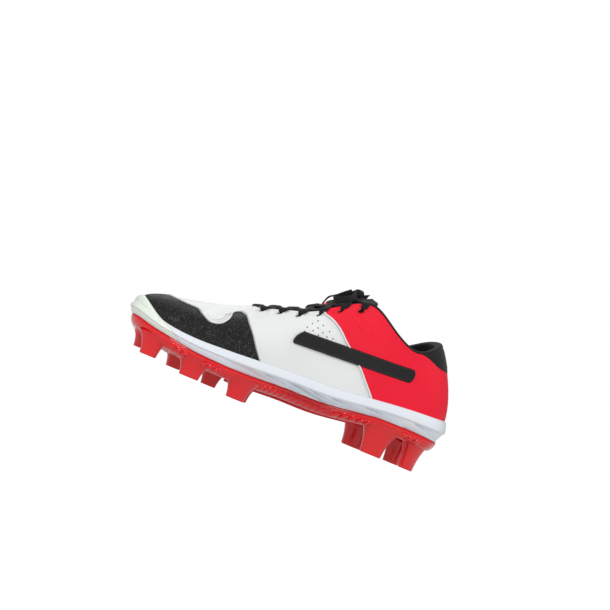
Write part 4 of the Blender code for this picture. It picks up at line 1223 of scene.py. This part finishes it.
def make_tongue():
    """Two smooth faces across the throat, with a rounded top and a sewn-down edge."""
    rows = np.linspace(12.0, 6 + 1 / 3, 64)
    width = 41
    faces_of = []
    for lift in (0.0, -TONGUE):
        nose = [tongue_section(14.0, np.array([0.74, 0.80, 0.86]), 0.0, lift),
                tongue_section(13.0, np.array([0.76, 0.83, 0.90]), 0.0, lift)]
        lines = np.stack([across_smooth(s, width) for s in nose + [throat_section(r, lift) for r in rows]])
        climb = lines[-1] - lines[-8]
        climb *= TONGUE_EXTRA / np.linalg.norm(climb, axis=-1, keepdims=True)
        tops = [lines[-1:] + climb * share for share in (0.3, 0.55, 0.75, 0.88, 0.95)]
        faces_of.append(np.concatenate([lines, *tops]))
    across = np.abs(np.linspace(-1, 1, width))
    low_corner = (0.0028 * across ** 6)[None, :, None] * np.array([0.45, 0, -0.9])
    face, under = faces_of
    swell = np.ones(len(face))
    swell[-5:] = (0.97, 0.90, 0.75, 0.52, 0.25)
    middle = (face + under) / 2
    weight = swell[:, None, None] * (1 - 0.75 * across ** 8)[None, :, None]
    face, under = middle + (face - middle) * weight, middle + (under - middle) * weight
    face[-5:] += low_corner
    under[-5:] += low_corner
    height, count = face.shape[:2]
    size = height * count
    quads = grid_quads(count, height, False)
    i = np.arange(count - 1)
    top = size - count
    k = np.arange(height - 1) * count
    sides = [np.stack([size + i, size + i + 1, i + 1, i], -1),
             np.stack([top + i, top + i + 1, size + top + i + 1, size + top + i], -1),
             np.stack([k, k + count, size + k + count, size + k], -1),
             np.stack([k + 2 * count - 1, k + count - 1, size + k + count - 1, size + k + 2 * count - 1], -1)]
    body = put_mesh("tongue_padded", np.concatenate([face.reshape(-1, 3), under.reshape(-1, 3)]),
                    np.concatenate([quads, quads[:, ::-1] + size, *sides]), BLACK_KNIT, 70.0)
    return outward_faces(body)


tongue = make_tongue()
fit(tongue, "black_textile", "tongue")

# Lace over the throat. A bar through the front eyelets, then crossings from pair to pair up to
# the knot. Each run comes up out of an eyelet and goes down into the next.
RUN_LIFT = 0.0011
RUN_REACH = 0.90
RUN_DIVE = 0.0045
RUN_HUMP = 0.0009


def lace_bed(row, across, lift):
    """A point above the throat: across goes from the inner eyelet (-1) to the outer one (1)."""
    tongue_face = throat_section(row, 0.0)[3:6] + np.array([-0.45, 0.0, 0.89]) * lift
    spots = []
    for at in (row, TURN - row):
        level = level_below(at, EYELET_EDGE)
        spots.append(wall(np.full(2, at), np.array([level, 1.0]), lift))
    track = np.stack([*spots[0], *tongue_face, *spots[1][::-1]])
    where = (-1.0, -0.76, -0.36, 0.0, 0.36, 0.76, 1.0)
    return pick(across, where, track)


def lace_run(start_row, end_row, start_across, end_across, lift, hump=0.0, dive=(True, True)):
    """Flat run of the lace: over the throat between two eyelets, with its ends inside them."""
    share = np.linspace(0.0, 1.0, 13)
    rows = start_row + (end_row - start_row) * share
    across = (start_across + (end_across - start_across) * share) * RUN_REACH
    high = lift + hump * np.exp(-((share - 0.5) / 0.17) ** 2)
    centre = np.stack([lace_bed(r, v, h) for r, v, h in zip(rows, across, high)])
    beside = np.stack([lace_bed(r - 0.05, v, h) for r, v, h in zip(rows, across, high)]) - centre
    normal = np.cross(unit(np.gradient(centre, axis=0)), unit(beside))
    normal *= np.sign(normal[:, 2:3])
    route, wide = list(centre), list(beside)
    if dive[0]:
        route = [centre[0] - normal[0] * RUN_DIVE, *route]
        wide = [beside[0], *wide]
    if dive[1]:
        route = [*route, centre[-1] - normal[-1] * RUN_DIVE]
        wide = [*wide, beside[-1]]
    path = smooth_route(route, 0.0010)
    wide = pick(np.linspace(0, len(wide) - 1, len(path)), np.arange(len(wide)), np.array(wide))
    run = np.linspace(0, 1, len(path))
    narrow = np.ones(len(path))
    for end, at in zip(dive, (run, 1 - run)):
        if end:
            narrow *= 0.72 + 0.28 * smooth_step((at - 0.04) / 0.10)
    return flat_tube(path, wide, LACE_WIDTH * narrow, LACE_THICKNESS * (1.3 - 0.3 * narrow))


def make_crossings():
    runs = [lace_run(EYELET_ROWS[0], EYELET_ROWS[0], -1, 1, RUN_LIFT)]
    for pair, (low_row, high_row) in enumerate(zip(EYELET_ROWS[:-1], EYELET_ROWS[1:])):
        over = 1 if pair % 2 else -1
        for sign in (1, -1):
            above = 0.0006 if pair >= 3 else 0.0
            hump = RUN_HUMP if sign == over else 0.0
            runs.append(lace_run(low_row, high_row, -sign, sign, RUN_LIFT + above, hump))
    last = EYELET_ROWS[-1]
    for sign in (1, -1):
        runs.append(lace_run(last, last - 0.05, sign, 0.22 * sign, RUN_LIFT + 0.0013, 0.0, (True, False)))
    fit(lace_piece("lace_crossings_woven", runs, LACE_PAINT), "lace_textile", "lace_crossings")


make_crossings()

# Insole. A thin foam sockliner with a smooth textile face, cupped a little at its edge.
INSOLE = 0.0035
INSOLE_STEPS = 40


def ladder_grid(left, right_side, count):
    """Points between two lines: share of the way from one to the other, count steps."""
    share = np.linspace(0, 1, count)[None, :, None]
    return left[:, None] * (1 - share) + right_side[:, None] * share


def make_insole():
    inset = RIM_INSET + RIM_THICKNESS + GAP + WALL + 2 * GAP
    rows = np.linspace(0, ROWS - 1, 120)[1:-1]
    near, far = ring(rows, inset, recess_floor(rows)), ring(TURN - rows, inset, recess_floor(rows))
    wide = INSOLE_STEPS
    grid = ladder_grid(near, far, wide)
    share = np.linspace(-1, 1, wide)
    height = GAP + INSOLE * (0.72 + 0.28 * np.abs(share) ** 5)
    top = grid + height[None, :, None] * np.array([0, 0, 1.0])
    base = grid + GAP * np.array([0, 0, 1.0])
    size = grid.shape[0] * grid.shape[1]
    quads = grid_quads(wide, len(rows), False)
    i = np.arange(wide - 1)
    k = np.arange(len(rows) - 1) * wide
    last = size - wide + i
    edges = ((i, i + 1), (last, last + 1), (k, k + wide), (k + wide - 1, k + 2 * wide - 1))
    sides = [np.stack([a, b, size + b, size + a], -1) for a, b in edges]
    body = put_mesh("insole_faced", np.concatenate([top.reshape(-1, 3), base.reshape(-1, 3)]),
                    np.concatenate([quads, quads + size, *sides]), BLACK_LINING, 50.0)
    return fit(outward_faces(body), "black_textile", "insole")


make_insole()

# Midsole. A white foam cup: a smooth band under its rim, a sharp ridge, and long slanted facets
# below the ridge. At the toe it is tinted like the bumper that wraps over it.
RIDGE_SHARE = 0.50
RIDGE_STEP = 0.0014
MIDSOLE_TUCK = 0.0040
FACET_TOPS = (-0.060, -0.036, -0.014, -0.006, 0.008, 0.027, 0.057, 0.102, 0.160)
FACET_LEAN = 0.042
FACET_DEPTH = 0.0022
FOAM_WHITE = (0.79, 0.835, 0.885, 1.0)
FOAM_SHADE = (0.60, 0.66, 0.74, 1.0)
TOE_WHITE = (0.83, 0.89, 0.80, 1.0)
TOE_LINE_X = 0.119
TOE_LINE_Z = 0.03275
TOE_LINE_SLOPE = 0.708


def half_and_whole(count):
    """Rows of the inner half, and those all round the shoe with the same steps."""
    half_rows = np.linspace(0, ROWS - 1, count)
    return half_rows, np.concatenate([half_rows, TURN - half_rows[-2:0:-1]])


def facet_cut(x, down):
    """Sawtooth of slanted facets: deepest just behind each crease, none in front of the next.

    down goes from the ridge (0) to the edge (1), and the creases lean back by FACET_LEAN on it.
    """
    tops = np.array(FACET_TOPS)
    at = x - FACET_LEAN * down
    index = np.clip(np.searchsorted(tops, at) - 1, 0, len(tops) - 2)
    part = np.clip((at - tops[index]) / (tops[index + 1] - tops[index]), 0, 1)
    fade = smooth_step(down / 0.22) * smooth_step((x + 0.075) / 0.03)
    return FACET_DEPTH * (1 - part) ** 1.3 * fade


def make_midsole():
    """Profile carried round the outline, from the sole's edge up over the rim to the footbed."""
    half_rows, rows = half_and_whole(430)
    edge, rim = LAST["edge"](rows), LAST["rim"](rows)
    ridge = edge + RIDGE_SHARE * (rim - edge)
    rings = []
    x = ring(rows, 0.0, 0.0)[:, 0]
    for s in np.linspace(0, 1, 22):
        inset = RIDGE_STEP + (MIDSOLE_TUCK - RIDGE_STEP) * (1 - s) ** 1.6
        height = edge + (ridge - 0.0010 - edge) * s
        rings.append(ring(rows, inset + facet_cut(x, 1 - s), height))
    rings += [ring(rows, 0.45 * RIDGE_STEP, ridge - 0.0005), ring(rows, 0.0001, ridge - 0.0001)]
    for s in np.linspace(0.04, 1, 12):
        rings.append(ring(rows, RIM_INSET * 0.82 * s ** 1.5, ridge + (rim - 0.0007 - ridge) * s))
    inside = RIM_INSET + RIM_THICKNESS
    for inset, height in ((RIM_INSET * 0.90, rim - 0.0003), (RIM_INSET + 0.0003, rim), (inside - 0.0003, rim),
                          (inside, rim - 0.0004), (inside, recess_floor(rows))):
        rings.append(ring(rows, inset, height))
    count = len(rows)
    quads, tips = [grid_quads(count, len(rings))], []
    n = len(half_rows)
    i = np.arange(1, n - 2)
    for start in (0, count * (len(rings) - 1)):
        quads.append(start + np.stack([i, i + 1, (count - i - 1) % count, count - i], -1))
        tips.append([start, start + 1, start + count - 1])
        tips.append([start + n - 2, start + n - 1, start + n])
    material, tree, shader = new_paint("white_foam", FOAM_WHITE, 0.42, coat=0.10)
    place = object_place(tree)
    parts = add_node(tree, "ShaderNodeSeparateXYZ", Vector=place)
    raised = calc(tree, "ADD", parts.outputs["Z"], TOE_LINE_SLOPE * TOE_LINE_X - TOE_LINE_Z)
    line = calc(tree, "MULTIPLY_ADD", parts.outputs["X"], TOE_LINE_SLOPE, raised)
    toe = ranged(tree, line, -0.0003, 0.0003)
    groove = ranged(tree, calc(tree, "ABSOLUTE", line), 0.0, 0.0006)
    grain = grouped(tree, PEBBLED_GRAIN, Place=place, Scale=500.0, Uneven=0.6)
    tone = mix_colour(tree, toe, TOE_WHITE, FOAM_WHITE)
    tone = mix_colour(tree, calc(tree, "MULTIPLY", grain.outputs["Cloud"], 0.25), tone, FOAM_SHADE)
    tree.links.new(tone, shader.inputs["Base Color"])
    fine = add_node(tree, "ShaderNodeBump", Distance=0.00003, Height=grain.outputs["Height"])
    add_bump(tree, shader, groove, 0.0004, fine.outputs["Normal"])
    body = put_mesh("midsole_foam", np.concatenate(rings), np.concatenate(quads), material, 28.0, tips)
    return fit(outward_faces(body), "white_foam", "midsole")


make_midsole()

# Outsole. A glossy red plate moulded in one with eleven studs. Leaf-shaped teeth stand along its
# side, fish scales cover its underside, and diagonal ribs the heel.
PLATE = 0.0095
PLATE_WAIST = 0.0090
STUD_ROOT = 0.0060
STUD_ROOF = 0.0024
STUD_TIP = 0.0165
STUDS = (
    # station, across, tip, long, wide, turn
    (0.920, -0.40, 0.182, 0.85, 0.52, -30),
    (0.800, -0.62, 0.070, 1.00, 0.55, -8),
    (0.653, -0.60, 0.000, 0.95, 0.58, 6),
    (0.915, 0.36, 0.280, 0.70, 0.50, 30),
    (0.787, 0.74, 0.130, 0.76, 0.52, 12),
    (0.666, 0.84, 0.050, 0.80, 0.52, -2),
    (0.575, 0.70, 0.000, 0.90, 0.58, -8),
    (0.213, -0.62, 0.000, 1.15, 0.60, 0),
    (0.213, 0.62, 0.000, 1.15, 0.60, 0),
    (0.090, -0.46, 0.000, 0.85, 0.60, 30),
    (0.090, 0.46, 0.000, 0.85, 0.60, -30),
)
FLARE = (
    # share of the height from the root, width
    (0.00, 2.10), (0.10, 1.86), (0.20, 1.64), (0.32, 1.44), (0.46, 1.27), (0.62, 1.14), (0.80, 1.05),
    (1.00, 1.00),
)
TEETH = (
    # start, end along the shoe, pitch, height of the teeth
    (-0.118, -0.096, 0.0060, 0.0022),
    (-0.088, -0.066, 0.0060, 0.0022),
    (-0.030, 0.036, 0.0056, 0.0018),
    (0.036, 0.074, 0.0072, 0.0032),
    (0.098, 0.121, 0.0066, 0.0026),
)
TEETH_SLANT = 0.007
SCALE_LENGTH = 0.0072
SCALE_WIDTH = 0.0046
RIB_PITCH = 0.0070
RELIEF = 0.0010
HEEL_RIBS_FROM = 0.072
SIDE_PROFILE = (
    # share of the plate's height, inset
    (0.0, 0.0), (0.12, -0.0001), (0.35, 0.0), (0.60, 0.0011), (0.85, 0.0030), (0.95, 0.0042), (1.0, 0.0060),
)
RED_RUBBER = (0.80, 0.001, 0.006, 1.0)
RED_SHADE = (0.55, 0.001, 0.005, 1.0)


def plate_inset(row):
    """The plate is drawn in at the waist, more on the inner side of the foot."""
    station = 0.5 - LAST["x"](row) / LENGTH
    waist = np.exp(-((station - 0.44) / 0.11) ** 2)
    inner_side = np.where(np.mod(row, TURN) < TURN / 2, 1.0, 0.75)
    return MIDSOLE_TUCK + 0.0004 + PLATE_WAIST * waist * inner_side


def edge_at(station):
    """Height of the midsole's underside over a station of the sole."""
    rows = np.linspace(0, ROWS - 1, 20 * ROWS)
    return np.interp(station, 0.5 - LAST["x"](rows) / LENGTH, LAST["edge"](rows))


def teeth_out(x, down):
    """Leaf-shaped teeth: a rounded wave along the shoe, slanted, and full near the lower edge."""
    out = np.zeros_like(x)
    for start, end, pitch, height in TEETH:
        zone = smooth_step((x - start) / 0.004) * smooth_step((end - x) / 0.004)
        phase = (x + TEETH_SLANT * down - start) / pitch
        leaf = np.abs(np.sin(math.pi * phase)) ** 0.7
        out += zone * height * leaf * smooth_step((down - 0.30) / 0.25)
    return out


def scale_height(x, y):
    """Fish scales in front and at the waist, diagonal ribs at the heel, both as ramps."""
    row = np.round(y / SCALE_WIDTH)
    across = (y - row * SCALE_WIDTH) / (SCALE_WIDTH / 2)
    ramp = np.mod(x / SCALE_LENGTH + 0.5 * np.mod(row, 2) + 0.38 * across ** 2, 1.0)
    scales = RELIEF * ramp ** 1.4 * (1 - 0.35 * across ** 2)
    ribs = RELIEF * np.abs(np.mod((x + 0.8 * y) / RIB_PITCH, 1.0) * 2 - 1) ** 0.8
    heel = smooth_step((x - HEEL_RIBS_FROM) / 0.006)
    return scales * (1 - heel) + ribs * heel


def make_plate():
    """Side rings, a ladder of rungs under the plate with its relief, and a plain one on top."""
    half_rows, rows = half_and_whole(420)
    edge, inset = LAST["edge"](rows), plate_inset(rows)
    x = ring(rows, 0.0, 0.0)[:, 0]
    rings = []
    for down in np.linspace(0, 1, 22):
        teeth = teeth_out(x, down) * np.clip((1.02 - down) * 4, 0, 1)
        moved = np.interp(down, *np.transpose(SIDE_PROFILE)) - teeth
        rings.append(ring(rows, inset + moved, edge - GAP - PLATE * down))
    count, n = len(rows), len(half_rows)
    body_points, body_quads = [np.concatenate(rings)], [grid_quads(count, len(rings))]
    bottom = rings[-1]
    near, far = bottom[:n], np.concatenate([bottom[:1], bottom[:n - 2:-1][:n - 2], bottom[n - 1:n]])
    wide = 76
    under = ladder_grid(near, far, wide)
    share = np.linspace(0, 1, wide)
    width = np.linalg.norm(near - far, axis=1)[:, None]
    to_side = np.minimum(share, 1 - share)[None] * width
    keep = smooth_step((to_side - 0.0015) / 0.003)
    under[..., 2] += scale_height(under[..., 0], under[..., 1]) * keep
    start = len(body_points[0])
    body_points.append(under[1:-1].reshape(-1, 3))
    body_quads.append(grid_quads(wide, n - 2, False, start)[:, ::-1])
    i = np.arange(1, n - 2)
    body_quads.append(np.stack([i, i + 1, (count - i - 1) % count, count - i], -1))
    return np.concatenate(body_points), np.concatenate(body_quads)


def make_stud(station, across, tip, long, wide, turned):
    """Rounded box that flares into the plate: a superellipse carried from its tip to its root."""
    sides = 44
    angle = np.linspace(0, 2 * math.pi, sides, endpoint=False)
    outline_x = drawn(np.cos(angle), 0.74) * long * STUD_TIP / 2
    outline_y = drawn(np.sin(angle), 0.74) * wide * STUD_TIP / 2
    spin = math.radians(turned)
    x = outline_x * math.cos(spin) - outline_y * math.sin(spin)
    y = outline_x * math.sin(spin) + outline_y * math.cos(spin)
    root = edge_at(station) - GAP - PLATE + STUD_ROOT
    foot = tip * EDGE_HEIGHT
    centre = np.array([(0.5 - station) * LENGTH, across * local_width(station) / 2, 0.0]) + LAST["offset"]
    down = np.concatenate([np.linspace(0, 0.93, 18), [0.97, 0.99, 1.0, 1.0]])
    spread = np.interp(down, *np.transpose(FLARE))
    spread[-4:] = (1.0, 0.97, 0.91, 0.05)
    heights = np.concatenate([[root + STUD_ROOF], foot + (root - foot) * (1 - down)])
    rings = [np.stack([centre[0] + x * k, centre[1] + y * k, np.full(sides, high)], -1)
             for high, k in zip(heights, [0.4, *spread])]
    return np.concatenate(rings), grid_quads(sides, len(rings))[:, ::-1]


def make_outsole():
    points, quads = make_plate()
    points, quads = [points], [quads]
    for stud in STUDS:
        stud_points, stud_quads = make_stud(*stud)
        quads.append(stud_quads + sum(len(p) for p in points))
        points.append(stud_points)
    material, tree, shader = new_paint("red_rubber", RED_RUBBER, 0.16, coat=0.55)
    place = object_place(tree)
    grain = grouped(tree, PEBBLED_GRAIN, Place=place, Scale=260.0, Uneven=0.8)
    tone = mix_colour(tree, calc(tree, "MULTIPLY", grain.outputs["Cloud"], 0.5), RED_RUBBER, RED_SHADE)
    tree.links.new(tone, shader.inputs["Base Color"])
    rough = calc(tree, "MULTIPLY_ADD", grain.outputs["Cloud"], 0.16, 0.09)
    tree.links.new(rough, shader.inputs["Roughness"])
    add_bump(tree, shader, grain.outputs["Cloud"], 0.0004)
    body = put_mesh("outsole_plate", np.concatenate(points), np.concatenate(quads), material, 40.0)
    return fit(outward_faces(body), "red_rubber", "outsole")


make_outsole()

# Inlay. A long plain black capsule set in the underside, glossy, with a thin raised red rim.
INLAY = 0.0012
INLAY_WIDTH = 0.017
INLAY_SEAT = 0.0006
INLAY_ENDS = (0.07, 0.66)
INLAY_STEPS = (
    # offset of the outline, share of the drop
    (0.0, 0.3), (0.0, 0.75), (-0.0004, 0.92), (-0.0012, 0.98), (-0.0040, 1.0), (-0.0070, 1.0),
)
INLAY_RIM = 0.0009


def inlay_line(offset):
    """Outline of the capsule moved out by an offset: straight sides and round ends."""
    radius = INLAY_WIDTH / 2 + offset
    start, end = INLAY_ENDS[0] * LENGTH + INLAY_WIDTH / 2, INLAY_ENDS[1] * LENGTH - INLAY_WIDTH / 2
    angle = np.linspace(-math.pi / 2, math.pi / 2, 24)
    near = np.linspace(start, end, 130)[1:-1]
    along = np.concatenate([near, end + radius * np.cos(angle), near[::-1], start - radius * np.cos(angle)])
    side = np.concatenate([np.full(len(near), -radius), radius * np.sin(angle), np.full(len(near), radius),
                           radius * np.sin(angle[::-1])])
    station = along / LENGTH
    middle = 0.0045 * np.clip((station - 0.2) / 0.45, 0, 1)
    top = edge_at(station) - GAP - PLATE
    return np.stack([(0.5 - station) * LENGTH, middle + side, top], -1) + LAST["offset"]


def make_inlay():
    """Rings of the capsule from its seat down to a domed face."""
    drop = INLAY_SEAT + INLAY
    rings = []
    for offset, share in INLAY_STEPS:
        line = inlay_line(offset)
        line[:, 2] -= drop * share
        rings.append(line)
    count = len(rings[0])
    material, tree, shader = new_paint("black_gloss", (0.008, 0.008, 0.009, 1.0), 0.10, coat=0.8)
    place = object_place(tree)
    glint_speck = add_node(tree, "ShaderNodeTexNoise", Vector=place, Scale=240.0, Detail=4.0)
    tree.links.new(calc(tree, "MULTIPLY_ADD", glint_speck.outputs["Fac"], 0.16, 0.04), shader.inputs["Roughness"])
    add_bump(tree, shader, glint_speck.outputs["Fac"], 0.0001)
    i = np.arange(count // 2 - 1)
    base = count * (len(rings) - 1)
    across = np.stack([base + i, base + i + 1, base + count - 2 - i, base + count - 1 - i], -1)
    quads = np.concatenate([grid_quads(count, len(rings)), across, across - base])
    body = put_mesh("outsole_inlay_gloss", np.concatenate(rings), quads, material, 40.0)
    fit(outward_faces(body), "black_gloss", "outsole_inlay")
    path = inlay_line(INLAY_RIM)
    path = np.concatenate([path, path[:1]])
    path[:, 2] -= INLAY_RIM
    tube = flat_tube(path, np.broadcast_to([0, 0, 1.0], path.shape), 0.0026, 0.0014, 10)
    fit(lace_piece("inlay_rim", [tube], bpy.data.materials["red_rubber"]), "red_rubber")


make_inlay()
